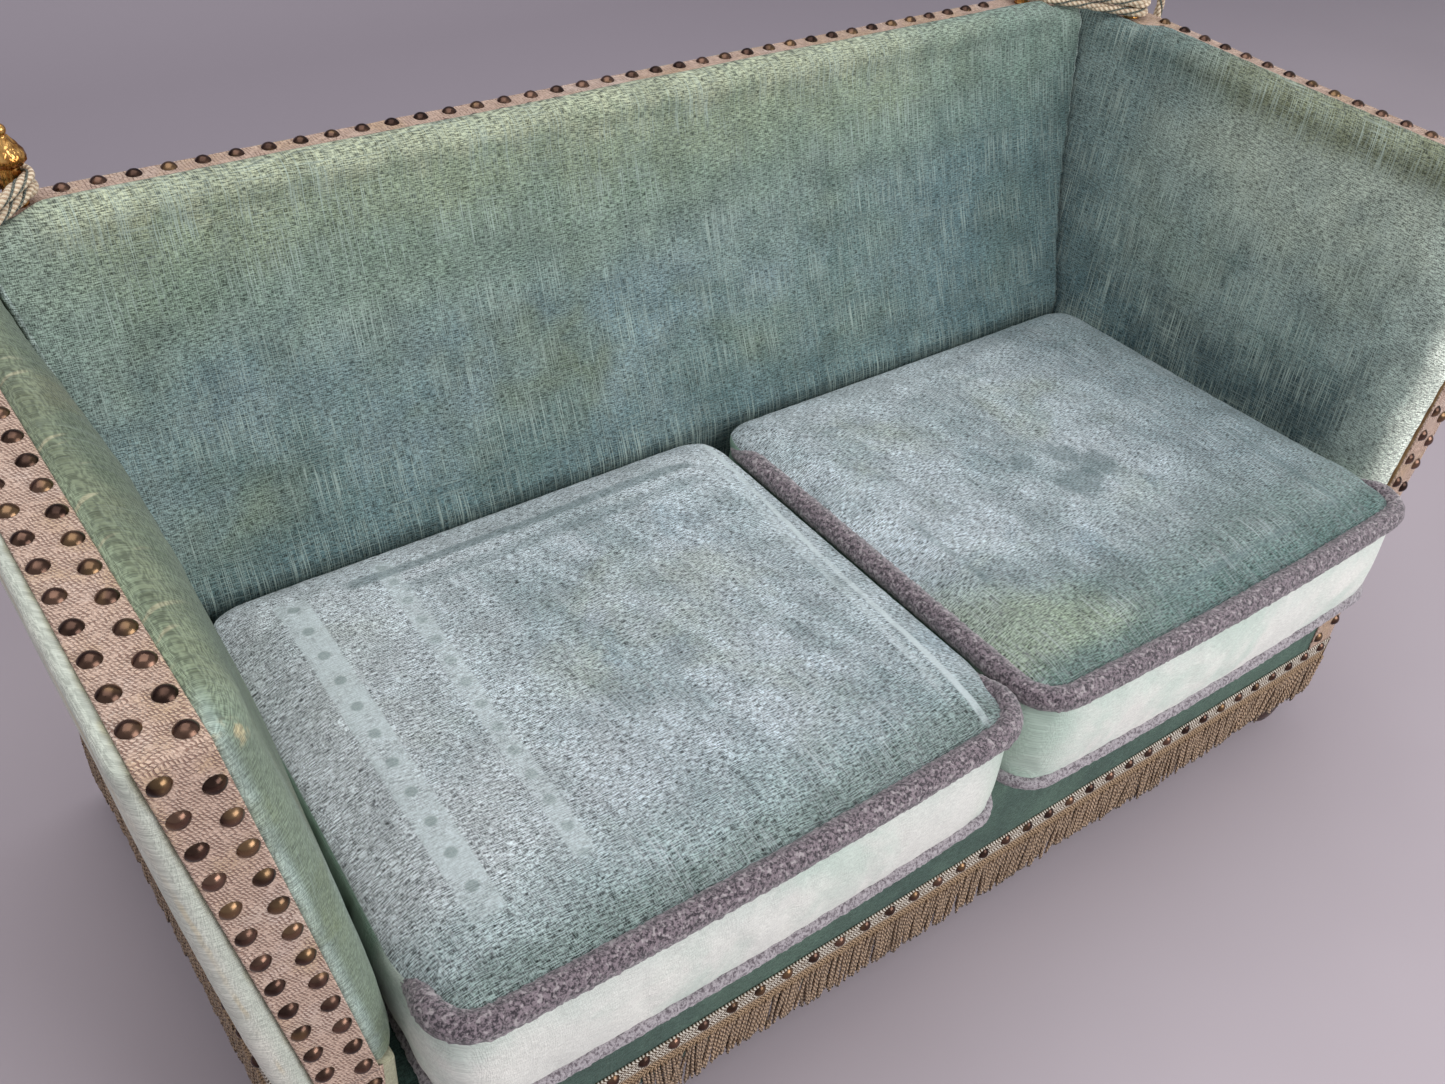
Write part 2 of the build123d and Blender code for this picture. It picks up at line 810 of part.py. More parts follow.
path = rope_path()
rope_section = Plane(origin=path @ 0, z_dir=path % 0) * Circle(rope_radius)
rope = sweep(rope_section, path=path)
both_sides("rope", rope)
samples = int(path.length / rope_sample_run)
spots = [path @ (i / samples) for i in range(samples + 1)]
apart = int(samples * rope_apart_run / path.length)
least = min(
    (spots[i] - spots[j]).length for i in range(len(spots)) for j in range(i + apart, len(spots))
)
print("rope length", round(path.length, 1), "least gap to itself", round(least - 2 * rope_radius, 2))


# Tassels at the ends of the tails
def tassel():
    top = (rope_radius, 0, 0)
    head = (tassel_head_radius, 0, -tassel_head_height / 2)
    waist = (tassel_waist_radius, 0, -tassel_head_height)
    collar_radius = tassel_skirt_radius * tassel_collar_share
    collar = (collar_radius, 0, -tassel_head_height - tassel_waist_radius)
    end = (tassel_skirt_radius, 0, -tassel_length)
    outline = [
        Line((0, 0, 0), top),
        ThreePointArc(top, head, waist),
        Line(waist, collar),
        Line(collar, end),
        Line(end, (0, 0, -tassel_length)),
        Line((0, 0, -tassel_length), (0, 0, 0)),
    ]
    return revolve(Face(Wire(outline)), axis=Axis.Z)


both_sides("tassel", Pos(rope_tail_x, rope_tail_y, rope_tail_bottom) * tassel())

# Arm frames
frame_front = arm_front + tape_thickness + seat_gap
frame_rear = outer_front - seat_gap
rail_low_top = arm_bottom + arm_rail_height
rail_high_bottom = arm_top - arm_rail_height
half = arm_frame_half
low_rail = leaning_box(-half, half, arm_bottom, rail_low_top, frame_front, frame_rear)
both_sides("arm_bottom_rail", without_pockets(low_rail))
high_rail = leaning_box(-half, half, rail_high_bottom, arm_top, frame_front, frame_rear)
both_sides("arm_top_rail", high_rail)
post_front_end = frame_front + arm_post_depth
post_rear_start = frame_rear - arm_post_depth
front_post = leaning_box(-half, half, rail_low_top, rail_high_bottom, frame_front, post_front_end)
rear_post = leaning_box(-half, half, rail_low_top, rail_high_bottom, post_rear_start, frame_rear)
both_sides("arm_posts", group([front_post, rear_post]))


# Arm pads, lofted through sections across the arm
def inner_face_x(z, along):
    """The inside of an arm: the front's profile, blended into the line of the back's side."""
    middle = (arm_bottom + arm_top) / 2
    share = (z - middle) / (arm_top - middle)
    at_front = arm_plane_x(z) - inner_pad_front_offset - inner_pad_swell * (1 - share**2)
    at_rear = back_side_x(z) + soft_gap + inner_pad_rear_hollow * (1 - share**2)
    above = min(1, max(0, (z - top_seam_height - roll_swell_start) / roll_swell_rise))
    swell = inner_pad_roll_swell * 4 * along * (1 - along) * above
    return (1 - along) * at_front + along * at_rear - swell


def pad_section(arcs, sides, y):
    """One section: arcs through the middle point of each triple, then straight sides."""
    edges = [ThreePointArc(*[(x, y, z) for x, z in triple]) for triple in arcs]
    straight = [arcs[-1][-1]] + sides + [arcs[0][0]]
    for first, second in zip(straight, straight[1:]):
        edges.append(Line((first[0], y, first[1]), (second[0], y, second[1])))
    return Face(Wire(edges))


def inner_section(y, along, fullness):
    side = -arm_frame_half - soft_gap

    def at(z, x=None):
        full = inner_face_x(z, along) if x is None else x
        wall = arm_plane_x(z) + side
        return (wall + (full - wall) * fullness, z)

    tuck_top = arm_bottom + inner_pad_tuck_height
    roll = arm_top - inner_pad_roll_drop
    middle = (tuck_top + roll) / 2
    foot = at(arm_bottom, arm_plane_x(arm_bottom) - inner_pad_tuck_offset)
    tuck_z = arm_bottom + inner_pad_tuck_height * inner_pad_tuck_share
    tuck = ((foot[0] + at(tuck_z)[0]) / 2, tuck_z)
    crest_z = arm_top + (tape_thickness + inner_pad_crest) * fullness
    tape_side = arm_plane_x(arm_top) - tape_width / 2
    crest = (tape_side - (inner_pad_crest_offset - tape_width / 2) * fullness, crest_z)
    edge = (tape_side - seat_gap, arm_top)
    rolled = 1 - math.sqrt(1 / 2)
    shoulder = (
        at(roll)[0] + (crest[0] - at(roll)[0]) * rolled,
        crest[1] - (crest[1] - roll) * rolled,
    )
    lip = ((crest[0] + edge[0]) / 2, crest[1] - (crest[1] - arm_top) * rolled)
    lower = (tuck_top + middle) / 2
    arcs = [
        (foot, tuck, at(tuck_top)),
        (at(tuck_top), at(lower), at(middle)),
        (at(middle), at((middle + roll) / 2), at(roll)),
        (at(roll), shoulder, crest),
        (crest, lip, edge),
    ]
    sides = [(arm_plane_x(arm_top) + side, arm_top), (arm_plane_x(arm_bottom) + side, arm_bottom)]
    return pad_section(arcs, sides, y)


pad_front_y = arm_front + tape_thickness + seat_gap
pad_meets_back = cushion_depth - top_piping_radius / 2
inner_sections = []
for run_share, fullness in pad_roll_shares:
    inner_sections.append(inner_section(pad_front_y + run_share * inner_pad_front_roll, 0, fullness))
full_from = pad_front_y + inner_pad_front_roll
for share in pad_length_shares:
    station = full_from + share * (pad_meets_back - full_from)
    inner_sections.append(inner_section(station, share, 1))
inner_sections.append(inner_section(arm_rear, 1, 1))
both_sides("arm_inner_pad", loft(inner_sections, ruled=True))


def outer_section(y, fullness):
    side = arm_frame_half + soft_gap

    def at(z, offset):
        return (arm_plane_x(z) + side + (offset - side) * fullness, z)

    middle = (arm_bottom + arm_top) / 2
    roll = arm_top - outer_pad_roll_drop
    top_edge = (arm_plane_x(arm_top) + tape_width / 2 + seat_gap, arm_top)
    upper = at(roll, outer_pad_top_offset)
    upper = (max(upper[0], arm_plane_x(roll) + tape_width / 2 + seat_gap), roll)
    shoulder_z = arm_top - outer_pad_roll_drop * outer_pad_shoulder_share
    shoulder_x = at(shoulder_z, outer_pad_top_offset)[0] - tape_thickness / 2
    shoulder = (max(shoulder_x, top_edge[0] + soft_gap), shoulder_z)
    arcs = [
        (at(arm_bottom, outer_pad_foot_offset), at(middle, outer_pad_middle_offset), upper),
        (upper, shoulder, top_edge),
    ]
    sides = [(arm_plane_x(arm_top) + side, arm_top), (arm_plane_x(arm_bottom) + side, arm_bottom)]
    return pad_section(arcs, sides, y)


outer_sections = []
for run_share, fullness in pad_roll_shares:
    outer_sections.append(outer_section(pad_front_y + run_share * outer_pad_front_roll, fullness))
outer_sections.append(outer_section(arm_rear, 1))
outer_pad = loft(outer_sections, ruled=True)
outer_pad += leaning_box(-half, half + tape_thickness, arm_bottom, arm_top, outer_front, arm_rear)
both_sides("arm_outer_pad", without_pockets(outer_pad))

# Arm tapes: down the front and along the top
tape_inner = arm_plane_x(arm_top) - tape_width / 2
tape_rear = arm_front + tape_thickness
arm_tape = leaning_box(-tape_width / 2, tape_width / 2, arm_bottom, tape_top, arm_front, tape_rear)
arm_tape += block((tape_inner, arm_front, arm_top), (tape_inner + tape_width, arm_rear, tape_top))
both_sides("arm_tape", arm_tape)

rope_room = rope_wrap_radius + rope_radius + nail_radius + soft_gap
arm_nails = []
for rise, side in staggered(arm_top - arm_bottom, nail_pitch):
    z = arm_bottom + rise
    x = arm_plane_x(z) + side * nail_row_offset
    arm_nails.append(Pos(x, arm_front, z) * Rot(90, 0, 0) * big_nail)
for run, side in staggered(arm_rear - arm_front, nail_pitch):
    x = arm_plane_x(arm_top) + side * nail_row_offset
    if not near_rope(x, arm_front + run, rope_room):
        arm_nails.append(Pos(x, arm_front + run, tape_top) * big_nail)
both_sides("arm_nails", group(arm_nails))

back_nails = []
for run, side in staggered(2 * back_tape_half, nail_pitch):
    x = run - back_tape_half
    y = back_tape_middle + side * nail_row_offset
    if not near_rope(x, y, rope_room):
        back_nails.append(Pos(x, y, tape_top) * big_nail)
parts["back_nails"] = group(back_nails)


# Hinges: leaves on the base and on the arm, knuckles and a pin on one axis
def barrel(y, radius, length):
    return Pos(hinge_x, y, hinge_z) * Rot(90, 0, 0) * Cylinder(radius, length)


def hinge_leaf(y, low, tongues):
    plate_end = hinge_x - hinge_knuckle_radius - hinge_tongue_gap
    leaf_start = hinge_x - hinge_leaf_width
    reach = hinge_length / 2
    leaf = block((leaf_start, y - reach, low), (plate_end, y + reach, low + hinge_leaf_thickness))
    for start, end in tongues:
        tongue = block((plate_end, y + start, low), (hinge_x, y + end, low + hinge_leaf_thickness))
        leaf += tongue + barrel(y + (start + end) / 2, hinge_knuckle_radius, end - start)
    return leaf


base_hinges = []
arm_hinges = []
knuckle = hinge_length * hinge_knuckle_share
for y in hinge_places:
    reach = hinge_length / 2
    inner_end = knuckle / 2
    base_low = hinge_z - hinge_knuckle_radius
    arm_low = hinge_z + hinge_knuckle_radius - hinge_leaf_thickness
    outer_knuckles = [(-reach, -inner_end - hinge_knuckle_gap), (inner_end + hinge_knuckle_gap, reach)]
    pin = barrel(y, hinge_pin_radius, hinge_length)
    base_hinges.append(hinge_leaf(y, base_low, outer_knuckles) + pin)
    arm_leaf = hinge_leaf(y, arm_low, [(-inner_end, inner_end)])
    arm_hinges.append(arm_leaf - barrel(y, hinge_pin_radius + running_gap, hinge_length))
both_sides("hinge_base", group(base_hinges))
both_sides("hinge_arm", group(arm_hinges))

# Write every part, moved to the origin at the middle of the footprint
to_origin = Pos(0, -depth_middle, 0)
low = [min(b) for b in zip(*[tuple((to_origin * one).bounding_box().min) for one in parts.values()])]
high = [max(b) for b in zip(*[tuple((to_origin * one).bounding_box().max) for one in parts.values()])]
print("box", [round(v, 2) for v in low], [round(v, 2) for v in high], "parts", len(parts))
print("hinge at x", hinge_x, "y", round(hinge_places[0] - depth_middle, 3), "z", hinge_z)
print("shift", depth_middle)
for name, part in parts.items():
    export_step(to_origin * part, f"parts/{name}.step")
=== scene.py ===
import functools
import json
import math
import random

import bmesh
import bpy
import numpy as np
from mathutils import Matrix, Vector, noise


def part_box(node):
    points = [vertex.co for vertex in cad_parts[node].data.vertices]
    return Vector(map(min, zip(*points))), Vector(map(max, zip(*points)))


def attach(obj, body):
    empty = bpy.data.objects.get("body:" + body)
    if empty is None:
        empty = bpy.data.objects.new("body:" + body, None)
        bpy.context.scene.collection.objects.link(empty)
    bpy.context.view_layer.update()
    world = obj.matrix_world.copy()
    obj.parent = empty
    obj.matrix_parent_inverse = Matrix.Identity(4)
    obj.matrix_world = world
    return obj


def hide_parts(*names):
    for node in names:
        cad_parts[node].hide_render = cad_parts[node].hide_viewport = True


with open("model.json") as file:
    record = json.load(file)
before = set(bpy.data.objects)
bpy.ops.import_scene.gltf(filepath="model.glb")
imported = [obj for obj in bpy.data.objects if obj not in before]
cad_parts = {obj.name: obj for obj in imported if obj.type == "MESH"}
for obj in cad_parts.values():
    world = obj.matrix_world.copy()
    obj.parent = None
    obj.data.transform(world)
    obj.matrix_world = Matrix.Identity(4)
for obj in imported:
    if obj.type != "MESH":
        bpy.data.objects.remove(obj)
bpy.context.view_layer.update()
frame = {"nodes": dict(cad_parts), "record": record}
nodes = frame["nodes"]
random.seed(7)
sides = (("left", -1), ("right", 1))
to_right = Vector((1, 0, 0))
to_rear = Vector((0, 1, 0))
upward = Vector((0, 0, 1))

# Camera: fitted to the straight edges of the sofa in the photograph
camera_place = Vector((-0.9226, -0.9854, 1.4874))
camera_forward = Vector((0.49897, 0.59417, -0.63087))
camera_up = Vector((0.32766, 0.54458, 0.77206))
camera_lens = 35.65

# Seat cushions, metres
cushion_width = 0.680
cushion_depth = 0.577
cushion_narrowing = 0.031
cushion_front = 0.006
cushion_bow = 0.007
cushion_draw = 0.004
cushion_corner = 0.042
cushion_crown = 0.020
flat_crown = 0.72
cushion_dent = 0.0035
cushion_sag = 0.009
cushion_inner_edge = 0.0004
cushion_columns = 72
cushion_rows = 62
border_levels = 14
border_bulge = 0.003
most_stretch = 0.007
piping_top = 0.014
piping_bottom = 0.0084
piping_tucked = 0.005
piping_step = 0.0032
fur_scale = 330.0
tuck_reach = 0.012
seam_top = 0.460
seam_bottom = 0.331
depth_middle = 0.4125

# Covers and trim
cover_ripples = 9.0
tape_width = 0.049
tape_thickness = 0.0025
ribbon_edge = 0.0016
ribbon_columns = 6
path_step = 0.006
arm_front = 0.052 - depth_middle
arm_top = 0.829
arm_bottom = 0.3965
arm_lean = 0.1705
arm_foot_x = 0.7292

# Fringe
braid_thickness = 0.003
cord_pitch = 0.0046
cord_radius = 0.0021
cord_lay = 0.0130
cord_steps = 15
cord_overlap = 0.003
cord_facets = 6
front_layer = 0.0014
rear_layer = -0.0022

# Finials
foot_radius = 0.011
foot_height = 0.0025
neck_radius = 0.010
neck_height = 0.040
bulb_radius = 0.0176
bulb_height = 0.039
tip_radius = 0.0061
finial_steps = 110
finial_facets = 96
leaf_count = 6
leaf_lobes = 3
leaf_depth = 0.0026

# Ropes and tassels
rope_radius = 0.006
rope_turns = 2
rope_turn_gap = 0.0006
rope_lay = 0.070
rope_step = 0.003
ply_radius = 0.0032
ply_reach = 0.0028
dark_strand_radius = 0.0012
dark_strand_reach = 0.0048
seat_gap = 0.0003
wrap_radius = neck_radius + rope_radius + seat_gap
tail_drop = 0.0255
tail_overhang = 0.0551
tail_setback = 0.007
tail_bend = 0.030
tail_steps = 12
tassel_head = 0.034
tassel_skirt = 0.114
tassel_rings = 40
tassel_facets = 20
tassel_cords = 44
tassel_steps = 20
tassel_lay = 0.010

# Stage
floor_half = 9.0
floor_front = -6.0
floor_rear = 2.6
backdrop_bend = 1.2
backdrop_top = 5.0


def arm_plane_x(z):
    return arm_foot_x + (z - arm_bottom) * arm_lean


def step(value, low, high):
    """A smooth step from 0 at low to 1 at high."""
    share = max(0.0, min(1.0, (value - low) / (high - low)))
    return share * share * (3 - 2 * share)


def shares(count):
    """Even shares from 0 to 1."""
    return [k / count for k in range(count + 1)]


def colour(red, green, blue):
    """A colour as a screen shows it, 0 to 255, in the linear values that shaders take."""
    def linear(value):
        share = value / 255
        return share / 12.92 if share <= 0.04045 else ((share + 0.055) / 1.055) ** 2.4

    return (linear(red), linear(green), linear(blue), 1.0)


class Wire:
    """A value in a material. Sums and products with it add nodes to the material's graph."""

    def __init__(self, graph, socket):
        self.graph = graph
        self.socket = socket

    def __add__(self, other):
        return self.graph.math("ADD", self, other)

    def __sub__(self, other):
        return self.graph.math("SUBTRACT", self, other)

    def __mul__(self, other):
        return self.graph.math("MULTIPLY", self, other)

    def __truediv__(self, other):
        return self.graph.math("DIVIDE", self, other)

    def __abs__(self):
        return self.graph.math("ABSOLUTE", self)

    def larger(self, other):
        return self.graph.math("MAXIMUM", self, other)

    def fraction(self):
        return self.graph.math("FRACT", self)

    def wave(self):
        """A sine that repeats with every whole number."""
        return self.graph.math("SINE", self * math.tau)

    def between(self, low, high, to_low=0.0, to_high=1.0):
        """A smooth step from one value to another."""
        values = {"Value": self, "From Min": low, "From Max": high, "To Min": to_low, "To Max": to_high}
        return self.graph.node("MapRange", values.items(), interpolation_type="SMOOTHSTEP")

    def strip(self, middle, half, soft):
        """One inside a band of the value, nothing outside it."""
        return abs(self - middle).between(half + soft, half)

    def tint(self, share, other):
        """This colour mixed with another."""
        return self.graph.mix(share, self, colour(*other))


class Graph:
    """A material and short ways to add its nodes. Every way returns the new node's value."""

    def __init__(self, name):
        self.material = bpy.data.materials.new(name)
        self.material.use_nodes = True
        self.tree = self.material.node_tree
        self.shader = self.tree.nodes["Principled BSDF"]
        coordinates = self.tree.nodes.new("ShaderNodeTexCoord")
        self.place = Wire(self, coordinates.outputs["Object"])
        self.axes = self.split(self.place)
        self.along, self.across = self.split(Wire(self, coordinates.outputs["UV"]))[:2]

    def put(self, socket, value):
        if isinstance(value, Wire):
            self.tree.links.new(value.socket, socket)
        else:
            socket.default_value = value

    def node(self, kind, values, out=0, **settings):
        made = self.tree.nodes.new("ShaderNode" + kind)
        for name, setting in settings.items():
            setattr(made, name, setting)
        for key, value in values:
            self.put(made.inputs[key], value)
        return Wire(self, made.outputs[out])

    def set(self, **values):
        for name, value in values.items():
            self.put(self.shader.inputs[name.replace("_", " ")], value)

    def math(self, operation, *values):
        return self.node("Math", enumerate(values), operation=operation)

    def dot(self, first, second):
        return self.node("VectorMath", enumerate((first, second)), out="Value", operation="DOT_PRODUCT")

    def join(self, x, y, z=0.0):
        return self.node("CombineXYZ", enumerate((x, y, z)))

    def split(self, vector):
        first = self.node("SeparateXYZ", [(0, vector)])
        return [Wire(self, socket) for socket in first.socket.node.outputs]

    def noise(self, scale, vector=None, detail=2.0, rough=0.5, twist=0.0):
        values = {"Vector": vector or self.place, "Scale": scale, "Detail": detail, "Roughness": rough,
                  "Distortion": twist}
        return self.node("TexNoise", values.items())

    def mix(self, share, first, second, way="MIX"):
        values = ((0, share), (6, first), (7, second))
        return self.node("Mix", values, out=2, data_type="RGBA", blend_type=way)

    def two_tone(self, value, low, high, first, second):
        """One colour where the value is low, another where it is high."""
        return self.mix(value.between(low, high), colour(*first), colour(*second))

    def bump(self, height, distance, strength):
        return self.node("Bump", {"Height": height, "Distance": distance, "Strength": strength}.items())


def threads(u, v, across, along, low, high):
    """Sparse slubs: noise drawn out along one direction of the weave."""
    graph = v.graph
    return graph.noise(1.0, graph.join(u * across, v * along), detail=1.0).between(low, high)


def velvet(name, first, second, u_way, v_way, slub, slub_colour, grain=1.0, patch=5.0, wear=None, marks=None):
    """Worn velvet: patches of two tones, a crossed pattern of slubs, and a short speckled pile."""
    graph = Graph(name)
    u = graph.dot(graph.place, u_way)
    v = graph.dot(graph.place, v_way)
    tone = graph.two_tone(graph.noise(patch, detail=5.0, rough=0.62), 0.40, 0.60, first, second)
    if wear:
        tone = wear(tone, *graph.axes)
    upright = threads(u, v, 900.0, 13.0, 0.56, 0.64)
    level = threads(u, v, 16.0, 900.0, 0.55, 0.67)
    thin = threads(u, v, 1100.0, 30.0, 0.52, 0.66)
    mottled = graph.noise(11.0, detail=3.0).between(0.35, 0.65, 0.45, 1.0)
    slubs = upright.larger(level * 0.6).larger(thin * 0.55) * mottled
    short_up = threads(u, v, 1200.0, 260.0, 0.30, 0.70)
    short_level = threads(u, v, 130.0, 1000.0, 0.30, 0.70)
    pile = short_up * 0.8 + short_level * 1.2
    gain = pile.between(0.1, 1.9, 1.0 - 0.78 * grain, 1.0 + 0.92 * grain)
    stain = min(0.16, 0.2 * grain)
    smudge = graph.noise(24.0, detail=4.0, rough=0.6).between(0.3, 0.7, 1.0 - stain, 1.0 + stain)
    tone = graph.mix(1.0, tone, gain * smudge, "MULTIPLY")
    tone = tone.tint(slubs * slub, slub_colour)
    if marks:
        tone = marks(tone, *graph.axes)
    graph.set(Base_Color=tone, Roughness=0.9, Specular_IOR_Level=0.12, Sheen_Weight=0.18, Sheen_Roughness=0.5)
    graph.set(Sheen_Tint=colour(214, 226, 222), Normal=graph.bump(pile + slubs, 0.0007, 0.5))
    return graph.material


def fade(tone, value, low, high, pale, share, patchy=9.0, ragged=1.6):
    """Fades a colour towards another where value passes from low to high, in patches."""
    noisy = tone.graph.noise(patchy, detail=5.0, rough=0.65) - 0.5
    moved = value + noisy * (abs(high - low) * ragged)
    return tone.tint(moved.between(low, high, 0.0, share), pale)


def faded(tone, *fades):
    """Fades, one over another, in the order of the rows."""
    for row in fades:
        tone = fade(tone, *row)
    return tone


def patches(tone, scale, low, high, other, share):
    """Clouds of another colour."""
    cloud = tone.graph.noise(scale, detail=4.0, rough=0.6, twist=0.5)
    return tone.tint(cloud.between(low, high, 0.0, share), other)


# Wear of the velvets, with painted light and shade where noted
def back_wear_and_painted_light(tone, x, y, z):
    tone = patches(tone, 3.5, 0.46, 0.66, (100, 110, 88), 0.65)
    tone = patches(tone, 5.0, 0.50, 0.66, (90, 112, 118), 0.6)
    tone = faded(
        tone,
        (z, 0.62, 0.77, (112, 126, 110), 0.75, 6.0),
        (z, 0.735, 0.81, (140, 146, 120), 0.85, 9.0),
        (z, 0.80, 0.848, (178, 176, 148), 0.85, 22.0, 2.8),
        (x, 0.22, 0.58, (74, 98, 102), 0.8, 5.0),
        (z, 0.66, 0.80, (104, 122, 106), 0.45, 8.0),
        # Paler towards the left end: a painted highlight by the corner with the left arm.
        (x, -0.60, -0.74, (126, 142, 136), 0.6, 6.0),
        # Darker towards the seat: painted shade low on the back.
        (z, 0.565, 0.46, (70, 92, 96), 0.8, 7.0),
    )
    # A thin pale line along both ends of the pad: a painted highlight on their rounded edges.
    reach = abs(x) - (z - seam_top) * 0.238
    tone = tone.tint(reach.strip(0.6455, 0.0018, 0.0016), (158, 172, 168))
    # Darkest at the foot of the back, against the seat: painted shade.
    return fade(tone, z, 0.474, 0.462, (30, 42, 44), 0.6, 7.0, 0.3)


def right_arm_wear_and_painted_shade(tone, x, y, z):
    return faded(
        patches(tone, 5.0, 0.50, 0.66, (108, 116, 98), 0.4),
        (z, 0.62, 0.77, (158, 166, 152), 0.85, 6.0),
        (z, 0.78, 0.82, (104, 108, 84), 0.9, 12.0),
        # Darker low on the inner arm, down by the seat: painted shade.
        (z, 0.62, 0.47, (48, 66, 72), 0.9, 6.0),
        (y, -0.02, 0.24, (72, 96, 102), 0.75, 6.0),
        (y, -0.24, -0.33, (164, 176, 168), 0.75, 9.0),
        (y, -0.318, -0.345, (214, 220, 208), 0.9, 14.0),
    )


def left_arm_wear_and_painted_shade(tone, x, y, z):
    """Olive inside, painted darker as shade where the roll turns away from the light, a warm rim with creases
    beside the tape, and a grey-green front with a torn spot.
    """
    graph = tone.graph
    inboard = x + z * arm_lean - (arm_bottom * arm_lean - arm_foot_x)
    tone = patches(tone, 7.0, 0.48, 0.64, (96, 96, 74), 0.6)
    # The olive base is painted shade where the roll turns away from the light beyond its crest. These fades
    # make it paler towards the tape.
    tone = fade(tone, inboard, 0.060, 0.040, (122, 130, 106), 0.7)
    rim = fade(tone, inboard, 0.038, 0.025, (160, 176, 148), 0.8, 9.0, 1.0)
    tone = graph.mix(y.between(0.10, -0.12, 0.25, 1.0), tone, rim)
    creases = threads(y, inboard, 62.0, 16.0, 0.62, 0.70)
    tone = tone.tint(creases * inboard.between(0.062, 0.036, 0.0, 0.6), (186, 178, 148))
    front = graph.two_tone(graph.noise(15.0), 0.4, 0.6, (140, 155, 147), (156, 173, 166))
    front = front.tint(inboard.strip(0.045, 0.006, 0.010), (118, 131, 113))
    front = fade(front, inboard, 0.034, 0.026, (180, 196, 184), 0.85, 26.0)
    front = patches(front, 12.0, 0.54, 0.68, (116, 126, 94), 0.5)
    tone = graph.mix(y.between(-0.300, -0.350), tone, front)
    torn = y.strip(-0.350, 0.002, 0.005) * z.strip(0.826, 0.010, 0.010)
    ragged = graph.noise(60.0, detail=3.0).between(0.44, 0.60, 0.0, 0.6)
    return tone.tint(torn * ragged, (200, 180, 140))


def cushion_wear(tone, x, y, z):
    """Clouds and pile brushed one way, on both seats."""
    brushed = x + y * 0.35
    tone = patches(tone, 6.0, 0.50, 0.68, (134, 142, 126), 0.45)
    tone = patches(tone, 9.0, 0.55, 0.70, (112, 132, 142), 0.5)
    tone = tone.tint(threads(brushed, y, 24.0, 5.0, 0.46, 0.62) * 0.3, (178, 188, 194))
    return tone.tint(threads(brushed + 5.0, y, 15.0, 4.0, 0.50, 0.64) * 0.3, (104, 122, 124))


def left_cushion_wear(tone, x, y, z):
    return faded(
        cushion_wear(tone, x, y, z),
        (x, -0.34, -0.64, (176, 180, 182), 0.75, 6.0),
        (y, 0.02, 0.14, (172, 178, 182), 0.6, 8.0),
        (y, -0.28, -0.36, (122, 138, 138), 0.7, 10.0),
        (y, -0.350, -0.385, (100, 114, 110), 0.85, 12.0),
    )


def right_cushion_wear(tone, x, y, z):
    return faded(
        cushion_wear(tone, x, y, z),
        (y, 0.02, 0.14, (166, 174, 178), 0.6, 8.0),
        (x, 0.38, 0.56, (104, 119, 123), 0.85, 7.0),
        (y, -0.18, -0.32, (108, 122, 122), 0.75, 9.0),
        (y, -0.28, -0.345, (94, 112, 108), 0.8, 9.0),
        (x * 0.8 + y, -0.16, -0.24, (140, 150, 122), 0.5, 14.0),
        (y, -0.352, -0.385, (76, 98, 94), 0.85, 12.0),
    )


def pressed_band(tone, middle, slope, half, first, last, share, pitch=0.0):
    """A pale band pressed into the pile, with a row of darker dots where it has a pitch."""
    graph = tone.graph
    x, y, z = graph.axes
    across = x - y * slope - middle
    ends = y.strip((first + last) / 2, (last - first) / 2, 0.014)
    worn = graph.noise(20.0, detail=5.0, rough=0.7).between(0.32, 0.58, 0.35, 1.0)
    tone = tone.tint(across.strip(0.0, half, 0.003) * ends * worn * share, (196, 206, 208))
    if pitch:
        run = ((y / pitch).fraction() - 0.5) * pitch
        place = graph.join(run, across)
        reach = graph.math("SQRT", graph.dot(place, place))
        tone = tone.tint(reach.between(0.0075, 0.0045) * ends * (share * 0.85), (122, 136, 134))
    return tone


def left_marks(tone, x, y, z):
    """Traces of what lay on the left seat."""
    tone = pressed_band(tone, -0.5728, 0.0382, 0.0150, -0.328, 0.112, 0.72, 0.040)
    tone = pressed_band(tone, -0.4690, 0.0500, 0.0095, -0.316, 0.125, 0.52, 0.034)
    tone = pressed_band(tone, -0.0330, 0.0690, 0.0030, -0.385, 0.140, 0.85)
    tone = pressed_band(tone, -0.0520, 0.0690, 0.0045, -0.330, 0.110, 0.3)
    for place, middle, half, share in ((0.104, -0.29, 0.21, 0.55), (0.070, -0.27, 0.18, 0.3)):
        line = y.strip(place, 0.005, 0.006) * x.strip(middle, half, 0.02)
        tone = tone.tint(line * share, (88, 106, 108))
    return tone


def right_marks(tone, x, y, z):
    """Four dark spots and the trace of a square on the right seat."""
    graph = tone.graph
    noisy = (graph.noise(70.0, detail=3.0) - 0.5) * 0.03
    for spot_x, spot_y, size in ((0.277, -0.110, 0.010), (0.311, -0.176, 0.022), (0.359, -0.158, 0.018),
                                 (0.336, -0.120, 0.012)):
        gap = graph.join(x - spot_x, y - spot_y)
        near = graph.math("SQRT", graph.dot(gap, gap)) + noisy
        tone = tone.tint(near.between(size + 0.014, size) * 0.5, (82, 100, 102))
    outer = x.strip(0.325, 0.245, 0.006) * y.strip(-0.150, 0.215, 0.006)
    inner = x.strip(0.325, 0.236, 0.006) * y.strip(-0.150, 0.206, 0.006)
    worn = graph.noise(9.0, detail=3.0).between(0.40, 0.62, 0.0, 0.5)
    return tone.tint((outer - inner) * worn, (98, 116, 118))


def border_wear_and_painted_light(tone, x, y, z):
    """Pale in front and towards the top, as painted light on the fronts that face the lamp. The sides of the
    seats, away from the light, keep a darker green, as painted shade.
    """
    tone = fade(tone, z, 0.395, 0.452, (204, 216, 208), 0.6, 20.0)
    tone = patches(tone, 5.0, 0.46, 0.62, (192, 212, 200), 0.6)
    tone = tone.tint(abs(x).between(0.09, 0.02, 0.0, 0.7), (166, 192, 176))
    return fade(tone, y, -0.355, -0.28, (120, 150, 132), 0.9, 14.0)


